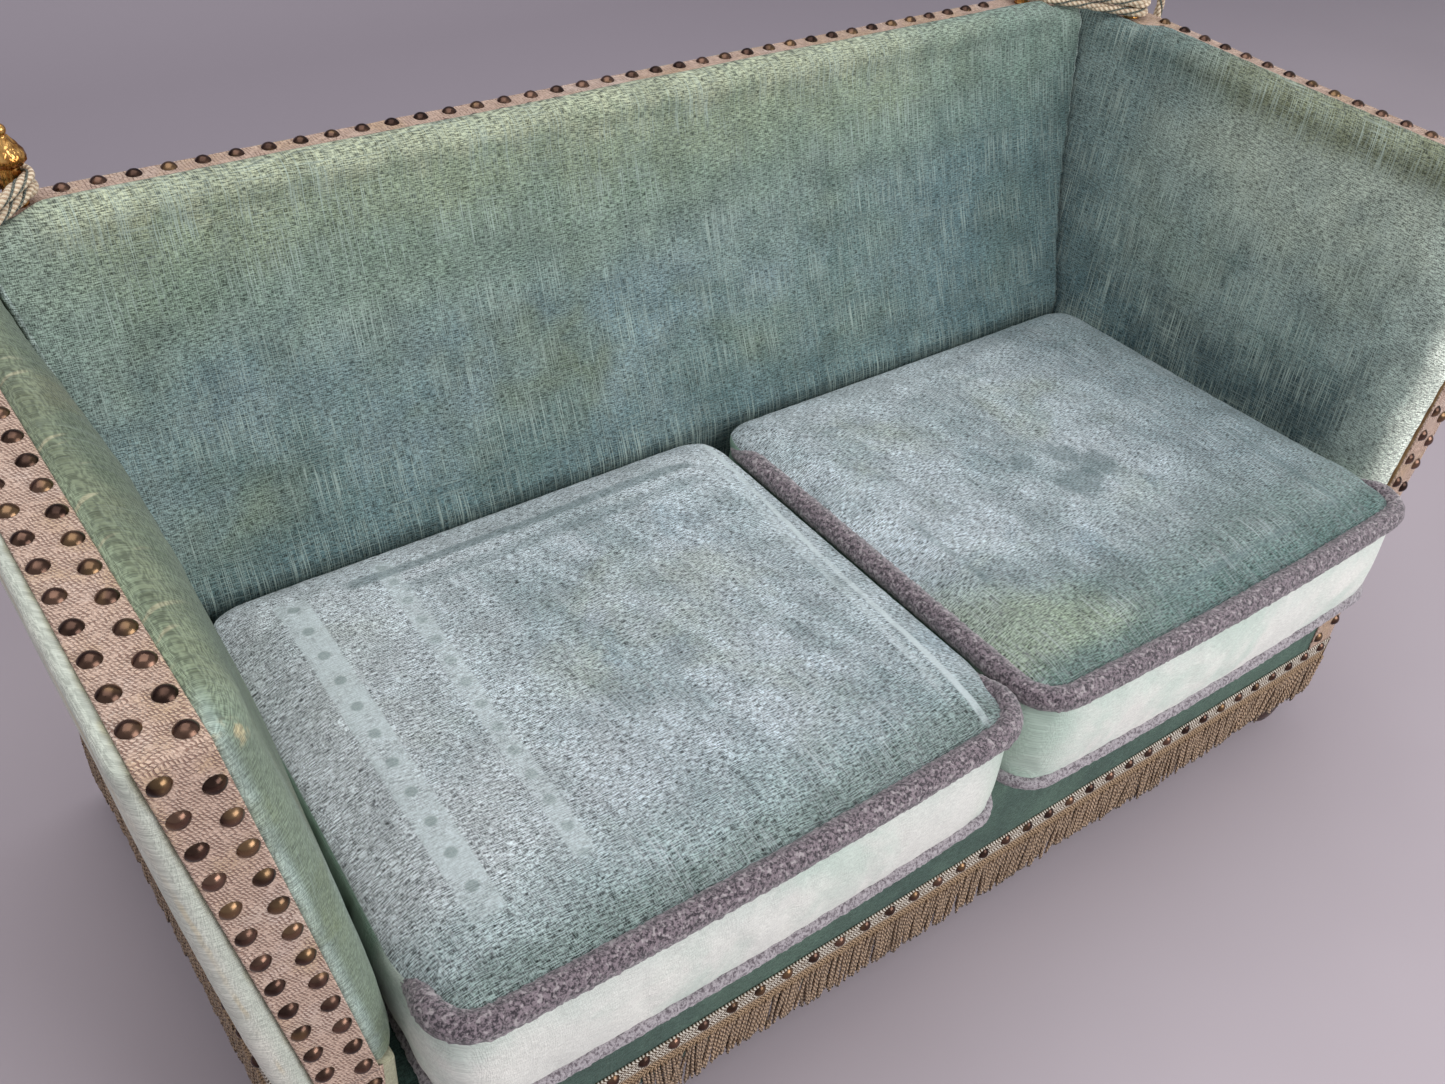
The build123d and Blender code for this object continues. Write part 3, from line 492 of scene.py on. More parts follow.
def outside_wear(tone, x, y, z):
    """Green beside the tape, with a pulled seam."""
    graph = tone.graph
    outboard = abs(x) - z * arm_lean - (arm_foot_x - arm_bottom * arm_lean)
    drift = outboard + graph.noise(40.0, detail=3.0) * 0.006
    tone = tone.tint(drift.between(0.044, 0.034, 0.0, 0.8), (196, 203, 190))
    tone = fade(tone, drift, 0.032, 0.026, (158, 152, 116), 0.7, 30.0)
    pulled = drift.strip(0.043, 0.0006, 0.002) * graph.noise(16.0).between(0.4, 0.6)
    return tone.tint(pulled * 0.5, (206, 188, 150))


back_velvet = velvet("back_velvet", (88, 107, 105), (106, 123, 126), (1, 0, 0), (0, 0.2, 1), 0.6,
                     (176, 192, 184), wear=back_wear_and_painted_light)
arm_velvets = {
    # The left arm's dark olive base colours are painted shade on the side of the roll that turns away from
    # the light.
    "left": velvet("arm_velvet_left", (84, 95, 78), (100, 111, 92), (0.6, 1, 0), (-0.4, 0, 1), 0.2,
                   (176, 192, 184), 0.5, wear=left_arm_wear_and_painted_shade),
    "right": velvet("arm_velvet_right", (102, 121, 118), (120, 135, 132), (-0.6, 1, 0), (0.2, 0, 1), 0.75,
                    (184, 198, 188), wear=right_arm_wear_and_painted_shade),
}
cushion_velvets = {
    side: velvet("cushion_velvet_" + side, (126, 138, 141), (156, 165, 170), (1, 0, 0), (0, 1, 0), 0.45,
                 (206, 212, 216), 1.2, 7.0, wear, marks)
    for side, wear, marks in (
        ("left", left_cushion_wear, left_marks),
        ("right", right_cushion_wear, right_marks),
    )
}
# A near-white base: painted light on the cushions' borders, whose fronts face the lamp.
border_velvet_painted_light = velvet("border_velvet_painted_light", (228, 228, 222), (236, 235, 228), (1, 1, 0), (0, 0, 1), 0.1,
                       (242, 242, 238), 0.14, wear=border_wear_and_painted_light)
outside_velvet = velvet("outside_velvet", (206, 207, 196), (222, 219, 208), (1, 1, 0), (0, 0, 1), 0.15,
                        (232, 230, 218), 0.25, wear=outside_wear)
base_velvet = velvet("base_velvet", (66, 86, 78), (80, 102, 90), (1, 0, 0), (0, 0, 1), 0.15,
                     (116, 134, 122), 0.5)
deck_cloth = velvet("deck_cloth", (60, 82, 76), (78, 100, 92), (1, 0, 0), (0, 1, 0), 0.2,
                    (120, 138, 126), 0.5)


# Looks of the trim, the metal and the wood
def chenille():
    """Fuzzy tufts, paler on the bottom piping."""
    graph = Graph("chenille")
    tufts = graph.noise(300.0, detail=3.0, rough=0.75)
    tone = graph.two_tone(tufts, 0.40, 0.60, (44, 36, 44), (134, 120, 127))
    tone = tone.tint(graph.noise(190.0).between(0.54, 0.68, 0.0, 0.6), (190, 180, 182))
    low = graph.two_tone(tufts, 0.36, 0.60, (100, 90, 97), (178, 170, 175))
    tone = graph.mix(graph.axes[2].between(0.42, 0.38), tone, low)
    graph.set(Base_Color=tone, Roughness=0.95, Sheen_Weight=0.4, Sheen_Roughness=0.6)
    graph.set(Specular_IOR_Level=0.1, Normal=graph.bump(tufts, 0.0025, 0.8))
    return graph.material


def galloon():
    """Woven tape: rows of short slanted stitches across it, with dark pits between them painted as shade."""
    graph = Graph("galloon")
    drift = graph.noise(55.0, detail=3.0) - 0.5
    row = (graph.along + drift * 0.009) / 0.0036
    inside = row.fraction()
    shift = graph.math("FLOOR", row) * 0.37
    phase = (graph.across + drift * 0.006) / 0.0029 + shift + inside * 0.75
    yarn = phase.wave().between(-0.85, 0.2)
    seam = abs(inside - 0.5).between(0.5, 0.34)
    loose = graph.noise(240.0).between(0.4, 0.7, 0.0, 0.7)
    relief = (yarn * seam).larger(loose)
    cloud = graph.noise(14.0, detail=4.0, rough=0.6, twist=0.5).between(0.48, 0.66, 0.0, 0.6)
    tone = graph.mix(cloud, colour(212, 184, 166), colour(204, 174, 136))
    tone = patches(tone, 8.0, 0.5, 0.68, (222, 204, 194), 0.7)
    # Painted shade: the pits between the stitches are darkened.
    tone = graph.mix(relief, colour(142, 111, 98), tone)
    fibre = graph.noise(700.0)
    tone = tone.tint(fibre.between(0.5, 0.75, 0.0, 0.5), (224, 206, 192))
    graph.set(Base_Color=tone, Roughness=0.92, Sheen_Weight=0.1, Specular_IOR_Level=0.15)
    graph.set(Normal=graph.bump(relief + fibre * 0.4, 0.0012, 0.9))
    return graph.material


def twisted(name, dark, pale, pitch, accent=None):
    """Twisted yarn: diagonal stripes round a strand, from its own texture coordinates."""
    graph = Graph(name)
    lit = (graph.along / pitch + graph.across * 2.0).wave().between(-0.7, 0.5)
    shade = graph.node("Attribute", (), out="Fac", attribute_name="shade")
    base = graph.mix(shade, colour(*pale), colour(*[c * 0.82 for c in pale]))
    tone = graph.mix(lit, colour(*dark), base)
    if accent:
        tone = tone.tint(shade.between(0.94, 0.96), accent)
    fibre = graph.noise(900.0)
    tone = tone.tint(fibre.between(0.4, 0.75, 0.0, 0.35), [min(255, c * 1.18) for c in pale])
    graph.set(Base_Color=tone, Roughness=0.8, Sheen_Weight=0.2, Specular_IOR_Level=0.25)
    graph.set(Normal=graph.bump(lit + fibre * 0.4, 0.0008, 0.8))
    return graph.material


def braid():
    """The fringe's header: zigzag yarn, with pale loops along its upper edge."""
    graph = Graph("fringe_header_braid")
    drift = graph.along + graph.noise(70.0) * 0.004
    lean = abs((graph.across / 0.0125).fraction() - 0.5)
    yarn = (drift / 0.0042 + lean * 2.6).wave().between(-0.7, 0.3)
    pale = graph.two_tone(graph.across, 0.012, 0.020, (192, 164, 134), (228, 220, 206))
    tone = graph.mix(yarn, colour(84, 66, 50), pale)
    tone = tone.tint(graph.noise(320.0).between(0.48, 0.7, 0.0, 0.6), (120, 98, 74))
    graph.set(Base_Color=tone, Roughness=0.92, Specular_IOR_Level=0.15, Normal=graph.bump(yarn, 0.0016, 0.9))
    return graph.material


def metal(name, dark, bright, rough, patch, worn=None):
    graph = Graph(name)
    tone = graph.two_tone(graph.noise(patch, detail=4.0, rough=0.6), 0.35, 0.65, dark, bright)
    if worn:
        tone = tone.tint(graph.noise(31.0, detail=1.0).between(0.52, 0.66, 0.0, 0.75), worn)
    smeared = graph.noise(130.0, detail=3.0).between(0.3, 0.7, rough - 0.06, rough + 0.1)
    scuffs = graph.bump(graph.noise(700.0), 0.0002, 0.25)
    graph.set(Base_Color=tone, Metallic=1.0, Roughness=smeared, Normal=scuffs)
    return graph.material


def timber(name, dark, pale, rough):
    graph = Graph(name)
    x, y, z = graph.axes
    drawn = graph.join(x * 6.0, y * 30.0, z * 90.0)
    tone = graph.two_tone(graph.noise(1.0, drawn, detail=5.0, rough=0.6, twist=0.6), 0.3, 0.7, dark, pale)
    graph.set(Base_Color=tone, Roughness=rough, Normal=graph.bump(graph.noise(5.0, drawn), 0.0004, 0.4))
    return graph.material


chenille_look = chenille()
tape_look = galloon()
braid_look = braid()
fringe_look = twisted("fringe_cord", (84, 62, 48), (208, 178, 148), 0.0046)
rope_look = twisted("rope_cord", (168, 138, 112), (232, 212, 186), 0.0058, (40, 54, 56))
tassel_look = twisted("tassel_cord", (132, 108, 86), (214, 196, 172), 0.0045)
gilt_look = metal("gilt_finial", (156, 102, 48), (232, 182, 112), 0.16, 60.0)
slot_looks = {
    "nail_brass": metal("nail_brass", (56, 42, 37), (112, 86, 73), 0.24, 24.0, (128, 102, 74)),
    "frame_beech": timber("frame_beech", (168, 128, 88), (206, 168, 122), 0.55),
    "foot_wood": timber("foot_wood", (34, 20, 14), (72, 42, 28), 0.3),
    "spring_steel": metal("spring_steel", (120, 120, 122), (178, 178, 180), 0.34, 40.0),
    "hinge_steel": metal("hinge_steel", (110, 108, 104), (160, 158, 152), 0.38, 40.0),
}
for subpart in frame["record"]["subparts"]:
    if subpart["material_slot"] in slot_looks:
        mesh = nodes[subpart["node"]].data
        mesh.materials.clear()
        mesh.materials.append(slot_looks[subpart["material_slot"]])


# Meshes
def placed(name, data):
    """A new object in the scene."""
    made = bpy.data.objects.new(name, data)
    bpy.context.scene.collection.objects.link(made)
    return made


def finished(name, mesh, body, slot, materials, *replaced):
    """A mesh becomes a smooth piece that rides on its body."""
    mesh.materials.clear()
    for material in materials:
        mesh.materials.append(material)
    mesh.polygons.foreach_set("use_smooth", [True] * len(mesh.polygons))
    mesh.update()
    piece = placed(name, mesh)
    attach(piece, body)
    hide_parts(*replaced)
    return piece


class Shape:
    """Points, faces and texture coordinates that grow strand by strand."""

    def __init__(self):
        self.points = []
        self.faces = []
        self.uvs = []
        self.shades = []

    def tube(self, rings, shade=0.0, marks=None, looped=False):
        """Rings joined by faces. A looped tube joins its last ring to its first, and others get caps."""
        first = len(self.points)
        count = len(rings[0])
        marks = marks or shares(count)
        starts = [Vector(ring[0]) for ring in rings]
        if looped:
            starts.append(starts[0])
        runs = [0.0]
        for before, after in zip(starts, starts[1:]):
            runs.append(runs[-1] + (after - before).length)
        for ring in rings:
            self.points.extend(ring)
            self.shades.extend([shade] * count)
        for r in range(len(runs) - 1):
            here = first + r * count
            there = first + (r + 1) % len(rings) * count
            for c in range(count):
                d = (c + 1) % count
                self.faces.append((here + c, here + d, there + d, there + c))
                self.uvs.extend([(runs[r], marks[c]), (runs[r], marks[c + 1]),
                                 (runs[r + 1], marks[c + 1]), (runs[r + 1], marks[c])])
        if not looped:
            last = len(self.points) - count
            self.faces.append(tuple(reversed(range(first, first + count))))
            self.faces.append(tuple(range(last, last + count)))
            self.uvs.extend([(0.0, 0.0)] * (2 * count))

    def piece(self, name, body, slot, look, *replaced):
        mesh = bpy.data.meshes.new(name)
        mesh.from_pydata([tuple(p) for p in self.points], [], self.faces)
        layer = mesh.uv_layers.new(name="UVMap")
        layer.data.foreach_set("uv", np.array(self.uvs, np.float32).ravel())
        shade = mesh.attributes.new("shade", "FLOAT", "POINT")
        shade.data.foreach_set("value", np.array(self.shades, np.float32))
        return finished(name, mesh, body, slot, [look], *replaced)


def evaluated_mesh(piece):
    return bpy.data.meshes.new_from_object(piece.evaluated_get(bpy.context.evaluated_depsgraph_get()))


def rings_along(path, section, closed=False):
    """Rings of a tube along a path. section(i) gives the ring's points across and up."""
    points = [Vector(p) for p in path]
    count = len(points)
    rows = []
    up = None
    for i, point in enumerate(points):
        before = points[i - 1] if i or closed else points[0]
        after = points[(i + 1) % count] if i + 1 < count or closed else points[-1]
        tangent = (after - before).normalized()
        if up is None:
            up = upward if abs(tangent.z) < 0.9 else to_rear
        across = tangent.cross(up).normalized()
        up = across.cross(tangent).normalized()
        rows.append([point + across * a + up * b for a, b in section(i)])
    return rows


def round_section(radius, count):
    angles = [math.tau * k / count for k in range(count)]
    return [(radius * math.cos(angle), radius * math.sin(angle)) for angle in angles]


def oval_ring(centre, across, outward, wide, thick, turn):
    """A ring of a cord that is a little flat, so that its twist shows."""
    ring = []
    for a, b in round_section(1.0, cord_facets):
        a *= wide
        b *= thick
        ring.append(centre + across * (a * math.cos(turn) - b * math.sin(turn))
                    + outward * (a * math.sin(turn) + b * math.cos(turn)))
    return ring


def roughen(ring, centre, amount):
    """Moves a ring's points in and out by noise, so that a roll looks furry."""
    moved = []
    for point in ring:
        away = (point - centre).normalized()
        moved.append(point + away * amount * noise.noise(point * fur_scale))
    return moved


def resampled(path, gap, closed=True, values=None):
    """Evenly spaced points along a line of points, with the values that go with them."""
    points = list(path) + ([path[0]] if closed else [])
    values = list(values or [0.0] * len(path))
    values.append(values[0])
    runs = [0.0]
    for before, after in zip(points, points[1:]):
        runs.append(runs[-1] + (after - before).length)
    count = max(2, round(runs[-1] / gap))
    spots = []
    met = []
    index = 0
    for k in range(count if closed else count + 1):
        target = runs[-1] * k / count
        while index < len(runs) - 2 and runs[index + 1] < target:
            index += 1
        share = (target - runs[index]) / max(1e-9, runs[index + 1] - runs[index])
        spots.append(points[index].lerp(points[index + 1], share))
        met.append(values[index] + (values[index + 1] - values[index]) * share)
    return spots, met


def softened(name, source, body, slot, material, voxel, rounds, wave=0.0012, shape=None):
    """An upholstered piece: the plain solid with soft edges and a surface that isn't quite even."""
    mesh = nodes[source].data.copy()
    work = bmesh.new()
    work.from_mesh(mesh)
    bmesh.ops.remove_doubles(work, verts=work.verts, dist=0.00001)
    work.to_mesh(mesh)
    work.free()
    piece = placed(name + "_work", mesh)
    remesh = piece.modifiers.new("remesh", "REMESH")
    remesh.mode = "VOXEL"
    remesh.voxel_size = voxel
    smooth = piece.modifiers.new("smooth", "SMOOTH")
    smooth.factor = 0.5
    smooth.iterations = rounds
    result = evaluated_mesh(piece)
    bpy.data.objects.remove(piece)
    count = len(result.vertices)
    places = np.zeros((count, 3), np.float32)
    normals = np.zeros((count, 3), np.float32)
    result.vertices.foreach_get("co", places.ravel())
    result.vertices.foreach_get("normal", normals.ravel())
    for spot, normal in zip(places, normals):
        place = Vector(spot)
        push = wave * (noise.noise(place * cover_ripples) - 0.4)
        if shape:
            push += shape(place, normal)
        spot += normal * push
    result.vertices.foreach_set("co", places.ravel())
    return finished(name, result, body, slot, [material], source)


# Seat cushions
def plan(x, y, side):
    """A point of the cushion's flat rectangle, moved to the bowed and narrowed plan."""
    share = (y - cushion_front) / (cushion_depth - piping_top - cushion_front)
    inner = cushion_inner_edge + piping_top
    outer = cushion_width - piping_top
    across = (x - inner) / (outer - inner)
    middle = 2 * across - 1
    drawn = cushion_narrowing * share + 4 * cushion_draw * share * (1 - share)
    moved_x = x - drawn * across
    moved_y = y - cushion_bow * (1 - middle**2) * (1 - share)
    return Vector((side * moved_x, moved_y - depth_middle, 0))


def rounded_grid():
    """Places of a grid over the cushion, with the corners drawn in to their radius, row by row."""
    inner = cushion_inner_edge + piping_top
    half_x = (cushion_width - piping_top - inner) / 2
    half_y = (cushion_depth - piping_top - cushion_front) / 2
    core_x = half_x - cushion_corner
    core_y = half_y - cushion_corner
    places = []
    for j in range(cushion_rows + 1):
        line = []
        for i in range(cushion_columns + 1):
            a = 2 * i / cushion_columns - 1
            b = 2 * j / cushion_rows - 1
            x = a * half_x
            y = b * half_y
            size = max(abs(a), abs(b))
            if size > 0:
                edge_x = x / size
                edge_y = y / size
                over_x = abs(edge_x) - core_x
                over_y = abs(edge_y) - core_y
                if over_x > 0 and over_y > 0:
                    length = math.hypot(over_x, over_y)
                    fit_x = math.copysign(core_x + over_x / length * cushion_corner, edge_x)
                    fit_y = math.copysign(core_y + over_y / length * cushion_corner, edge_y)
                    weight = size**8
                    x += (fit_x - edge_x) * weight
                    y += (fit_y - edge_y) * weight
            line.append((x + half_x + inner, y + half_y + cushion_front, size))
        places.append(line)
    return places


def around(lines):
    """What lies on the grid's edge, in order round it."""
    edge = lines[0][:-1] + [line[-1] for line in lines[:-1]]
    return edge + lines[-1][:0:-1] + [line[0] for line in lines[:0:-1]]


def inflate(piece, pinned):
    """Cloth under pressure fills out the case between its seams."""
    group = piece.vertex_groups.new(name="seams")
    group.add(pinned, 1.0, "REPLACE")
    rest = [v.co.copy() for v in piece.data.vertices]
    cloth = piece.modifiers.new("cloth", "CLOTH")
    for setting, value in {
        "quality": 5, "use_pressure": True, "uniform_pressure_force": 4.0, "vertex_group_mass": "seams",
        "tension_stiffness": 12.0, "compression_stiffness": 12.0, "bending_stiffness": 0.6,
        "shrink_min": -0.012,
    }.items():
        setattr(cloth.settings, setting, value)
    cloth.settings.effector_weights.gravity = 0.0
    scene = bpy.context.scene
    for number in range(1, 21):
        scene.frame_set(number)
    result = evaluated_mesh(piece)
    piece.modifiers.clear()
    scene.frame_set(1)
    for vertex, start in zip(result.vertices, rest):
        moved = vertex.co - start
        if moved.length > most_stretch:
            vertex.co = start + moved * (most_stretch / moved.length)
    return result


def tuck(x, y, side):
    """How far the case bulges over its piping: beside the arm, in the middle on the left, and at the back."""
    beside = step(y, 0.035, 0.11)
    outer = step(x, 0.600, 0.655) * beside
    inner = step(x, 0.070, 0.025) * beside * 0.85 if side < 0 else 0.0
    rear = step(y, 0.49, 0.55)
    return outer, inner, rear


def outward_ways(path):
    """The level way out of a closed loop at each of its points."""
    middle = sum(path, Vector()) / len(path)
    ways = []
    for i, point in enumerate(path):
        run = path[(i + 1) % len(path)] - path[i - 1]
        way = Vector((run.y, -run.x, 0)).normalized()
        ways.append(way if way.dot(point - middle) > 0 else -way)
    return ways


def crown(size):
    """How full the case is: nothing at the seams, one in the middle."""
    return flat_crown * (1 - size**20) + (1 - flat_crown) * (1 - size**3)


def top_spot(x, y, size, side):
    """A point of the crowned top, which bulges over the piping where the cushion is tucked in."""
    dent = cushion_dent * noise.noise(Vector((x * 7, y * 7, side * 3 + cushion_crown * 40)))
    outer, inner, rear = tuck(x, y, side)
    edging = tuck_reach * size**10
    height = seam_top + (cushion_crown + dent) * crown(size)
    return plan(x, y, side) + Vector((side * (outer - inner) * edging, rear * edging, height))


def bottom_spot(x, y, size, side):
    return plan(x, y, side) + upward * (seam_bottom - cushion_sag * crown(size))


def sheet(points, faces, places, spot_of, side, flip):
    """The top or the bottom of a case. Returns the ring of point numbers at its seam."""
    numbers = []
    for line in places:
        numbers.append([len(points) + i for i in range(len(line))])
        points.extend(spot_of(*place, side) for place in line)
    for low, high in zip(numbers, numbers[1:]):
        for i in range(cushion_columns):
            corners = (low[i], low[i + 1], high[i + 1], high[i])
            faces.append(corners[::-1] if flip else corners)
    return around(numbers)


def border(points, faces, top_ring, bottom_ring, ways, tucks, flip):
    """Rings between the seams. Returns the number of the border's first face."""
    first = len(faces)
    before = top_ring
    for level in range(1, border_levels + 1):
        share = level / border_levels
        ring = bottom_ring
        if level < border_levels:
            ring = []
            for number, way, drawn in zip(top_ring, ways, tucks):
                bulge = border_bulge * 4 * share * (1 - share) - tuck_reach * drawn * share
                spot = points[number] + way * bulge
                spot.z = seam_top + (seam_bottom - seam_top) * share
                ring.append(len(points))
                points.append(spot)
        for k in range(len(ring)):
            after = (k + 1) % len(ring)
            corners = (before[k], before[after], ring[after], ring[k])
            faces.append(corners if flip else corners[::-1])
        before = ring
    return first


def pipings(side_name, side, outline, ways, tucks):
    """Furry rolls on both seams. The top one is thinner and lower where the case bulges over it."""
    shape = Shape()
    for height, radius, thin, lowered, aside, facets, fur in (
        (seam_top, piping_top, piping_tucked, 0.012, 0.001, 26, 0.0019),
        (seam_bottom, piping_bottom, piping_bottom, 0.0, 0.0, 20, 0.0017),
    ):
        path = [plan(x, y, side) + way * (aside * share) + upward * (height - lowered * share)
                for (x, y, size), way, share in zip(outline, ways, tucks)]
        path, sunk = resampled(path, piping_step, values=tucks)
        radii = [radius + (thin - radius) * share - fur * 0.2 for share in sunk]
        rings = rings_along(path, lambda i: round_section(radii[i], facets), closed=True)
        shape.tube([roughen(ring, centre, fur) for ring, centre in zip(rings, path)], looped=True)
    shape.piece("chenille_piping_" + side_name, "seat_cushion_" + side_name,
                "cushion_piping", chenille_look, "cushion_piping_" + side_name)


def cushion(side_name, side):
    """A seat: its filled case with the border in its own velvet, and its pipings."""
    places = rounded_grid()
    outline = around(places)
    flipped = side < 0
    points = []
    faces = []
    top_ring = sheet(points, faces, places, top_spot, side, flipped)
    bottom_ring = sheet(points, faces, places, bottom_spot, side, not flipped)
    ways = outward_ways([points[n] for n in top_ring])
    tucks = [max(tuck(x, y, side)) for x, y, size in outline]
    border_start = border(points, faces, top_ring, bottom_ring, ways, tucks, flipped)
    mesh = bpy.data.meshes.new("cushion_work")
    mesh.from_pydata(points, [], faces)
    mesh.update()
    work = placed("cushion_work_" + side_name, mesh)
    result = inflate(work, top_ring + bottom_ring)
    bpy.data.objects.remove(work)
    piece = finished("seat_cushion_case_" + side_name, result, "seat_cushion_" + side_name,
                     "cushion_velvet", [cushion_velvets[side_name], border_velvet_painted_light], "cushion_" + side_name)
    for number in range(border_start, len(faces)):
        result.polygons[number].material_index = 1
    smooth = piece.modifiers.new("finer", "SUBSURF")
    smooth.levels = 1
    smooth.render_levels = 1
    pipings(side_name, side, outline, ways, tucks)


for side, way in sides:
    cushion(side, way)


# Upholstered pieces
def back_shape(place, normal):
    """Slight pulls across the panel, a full crest before the tape, and lower corners that draw in."""
    pull = 0.0
    if normal[1] < -0.3:
        pull = 0.0016 * noise.noise(Vector((place.x * 26, place.y * 5, place.z * 5)))
    crest = step(place.z, 0.812, 0.832) * step(place.y, 0.356, 0.342) * step(abs(place.x), 0.70, 0.66)
    pull += 0.013 * crest * max(0.0, normal[2])
    corner = step(abs(place.x), 0.54, 0.64) * step(place.z, 0.72, 0.46) * step(abs(normal[0]), 0.2, 0.8)
    return pull - 0.044 * corner


def arm_shape(side, place, normal):
    """Fine pulls across the roll beside the tape, and a full crest on its inner edge."""
    near_top = step(place.z, 0.72, 0.80)
    near_front = step(place.y, -0.25, -0.33)
    along = place.y if near_top > near_front else place.z
    ripple = noise.noise(Vector((along * 75, place.x * 9, 4.0)))
    inboard = arm_plane_x(place.z) - abs(place.x)
    crest = step(place.z, 0.805, 0.828) * step(inboard, 0.026, 0.034) * step(place.y, 0.25, 0.19)
    crest *= step(place.y, -0.345, -0.31)
    rise = 0.011 if side > 0 else 0.003
    ripples = max(0.0006 * near_top, 0.0003 * near_front)
    return ripples * ripple + rise * crest * max(0.0, normal[2])


softened("inside_back", "back_pad", "base", "back_velvet", back_velvet, 0.006, 8,
                   shape=back_shape)
softened("outside_back", "back_outer_cover", "base", "outside_velvet", outside_velvet, 0.006, 3)
softened("seat_platform", "seat_deck", "base", "deck_cloth", deck_cloth, 0.008, 4)
softened("base_front_panel", "base_cover_front", "base", "base_velvet", base_velvet, 0.004, 2, 0.0006)
for side, way in sides:
    arm = "arm_" + side
    pulls = functools.partial(arm_shape, way)
    inner = softened("inside_arm_" + side, "arm_inner_pad_" + side, arm, "arm_velvet",
                     arm_velvets[side], 0.005, 8, shape=pulls)
    outer = softened("outside_arm_" + side, "arm_outer_pad_" + side, arm, "outside_velvet",
                     outside_velvet, 0.005, 4, shape=pulls)
    softened("base_side_panel_" + side, "base_cover_" + side, "base", "outside_velvet",
             outside_velvet, 0.004, 2, 0.0006)


# Tapes
def ribbon(shape, path, across, normals, width, thickness):
    """A flat woven strip with corded edges, from its middle line, its across way and its normals."""
    half = width / 2
    inner = half - 2.5 * ribbon_edge
    section = [(-half, 0.0), (-half, thickness * 0.7)]
    section += [(-half + ribbon_edge, thickness), (-inner, thickness * 0.8)]
    section += [(-inner + 2 * inner * k / ribbon_columns, thickness * 0.85) for k in range(1, ribbon_columns)]
    section += [(-a, b) for a, b in reversed(section[:4])]
    rings = []
    for spot, normal in zip(path, normals):
        wobble = 0.0004 * noise.noise(spot * 60)
        rings.append([spot + across * a + normal * (b + (wobble if b > 0 else 0)) for a, b in section])
    shape.tube(rings, marks=[a + half for a, b in section] + [0.0])


def straight(start, end):
    return [start.lerp(end, share) for share in shares(max(2, round((end - start).length / path_step)))]


def arm_tape(side, way):
    """Up the arm's front and back along its top, in one strip."""
    front = arm_front + tape_thickness
    foot = Vector((way * arm_plane_x(arm_bottom), front, arm_bottom))
    corner = Vector((way * arm_plane_x(arm_top), front, arm_top))
    end = Vector((corner.x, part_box("arm_tape_right")[1].y, arm_top))
    rise = straight(foot, corner)
    top = straight(corner, end)
    bend = (upward - to_rear).normalized() * math.sqrt(2)
    normals = [-to_rear] * (len(rise) - 1) + [bend] + [upward] * (len(top) - 1)
    shape = Shape()
    ribbon(shape, rise[:-1] + top, to_right, normals, tape_width, tape_thickness)
    shape.piece("arm_galloon_" + side, "arm_" + side, "galloon_tape", tape_look, "arm_tape_" + side)


def back_tape():
    low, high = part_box("back_tape")
    middle = (low.y + high.y) / 2
    path = straight(Vector((low.x, middle, arm_top)), Vector((high.x, middle, arm_top)))
    shape = Shape()
    ribbon(shape, path, to_rear, [upward] * len(path), tape_width, tape_thickness)
    shape.piece("back_galloon", "base", "galloon_tape", tape_look, "back_tape")


def base_tape():
    """An upright strip at each end of the base's front."""
    low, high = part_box("base_tape")
    shape = Shape()
    for way in (-1, 1):
        x = way * (high.x - tape_width / 2)
        path = straight(Vector((x, high.y, low.z)), Vector((x, high.y, high.z)))
        ribbon(shape, path, to_right, [-to_rear] * len(path), tape_width, tape_thickness)
    shape.piece("base_galloon", "base", "galloon_tape", tape_look, "base_tape")


for side, way in sides:
    arm_tape(side, way)
back_tape()
base_tape()


# Fringe
def bullion(corner, along, outward, run, top, length):
    """Cords in two layers, which lean and shorten in clumps."""
    shape = Shape()
    count = int(run / cord_pitch)
    lean = 0.0
    shorten = 0.0
    for k in range(2 * count):
        in_front = k % 2
        if random.random() < 0.07:
            lean = random.uniform(-0.17, 0.17)
            shorten = random.uniform(0.0, 0.015)
        place = (k / 2 + 0.5) * run / count
        sway = lean * (0.4 + 0.6 * in_front) + random.uniform(-0.03, 0.03)
        bend = random.uniform(-0.004, 0.004)
        hang = length - shorten - random.uniform(0.0, 0.007)
        out = random.uniform(-0.0005, 0.0005) + (front_layer if in_front else rear_layer)
        phase = random.uniform(0, math.tau)
        rings = []
        for share in shares(cord_steps):
            drop = hang * share
            x = place + sway * drop + bend * share * share
            x = min(run - cord_radius, max(cord_radius, x))
            reach = -braid_thickness / 2 + out + 0.001 * math.sin(3 * share + phase)
            centre = corner + along * x + outward * reach + upward * (top - drop)
            turn = phase + share * hang / cord_lay * math.tau
            swell = cord_radius if share < 1 else cord_radius * 0.7
            rings.append(oval_ring(centre, along, outward, 1.15 * swell, 0.80 * swell, turn))
        shape.tube(rings, shade=0.15 + 0.85 * random.random() if in_front else 1.0)
    return shape


def fringes():
    """A header and its cords on every side of the base, from the front to the right and on round."""
    low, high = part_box("fringe_header")
    header = Shape()
    length = low.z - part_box("fringe_front")[0].z
    width = high.x - low.x
    depth = high.y - low.y
    for name, corner, along, outward, run in (
        ("front", Vector((low.x, low.y, 0)), to_right, -to_rear, width),
        ("right", Vector((high.x, low.y, 0)), to_rear, to_right, depth),
        ("rear", Vector((high.x, high.y, 0)), -to_right, to_rear, width),
        ("left", Vector((low.x, high.y, 0)), -to_rear, -to_right, depth),
    ):
        start = corner - outward * braid_thickness + upward * ((low.z + high.z) / 2)
        path = straight(start, start + along * run)
        ribbon(header, path, upward, [outward] * len(path), high.z - low.z, braid_thickness)
        cords = bullion(corner, along, outward, run, low.z + cord_overlap, length)
        cords.piece("bullion_" + name, "base", "fringe_cord", fringe_look, "fringe_" + name)
    header.piece("fringe_braid", "base", "fringe_header_braid", braid_look, "fringe_header")


fringes()


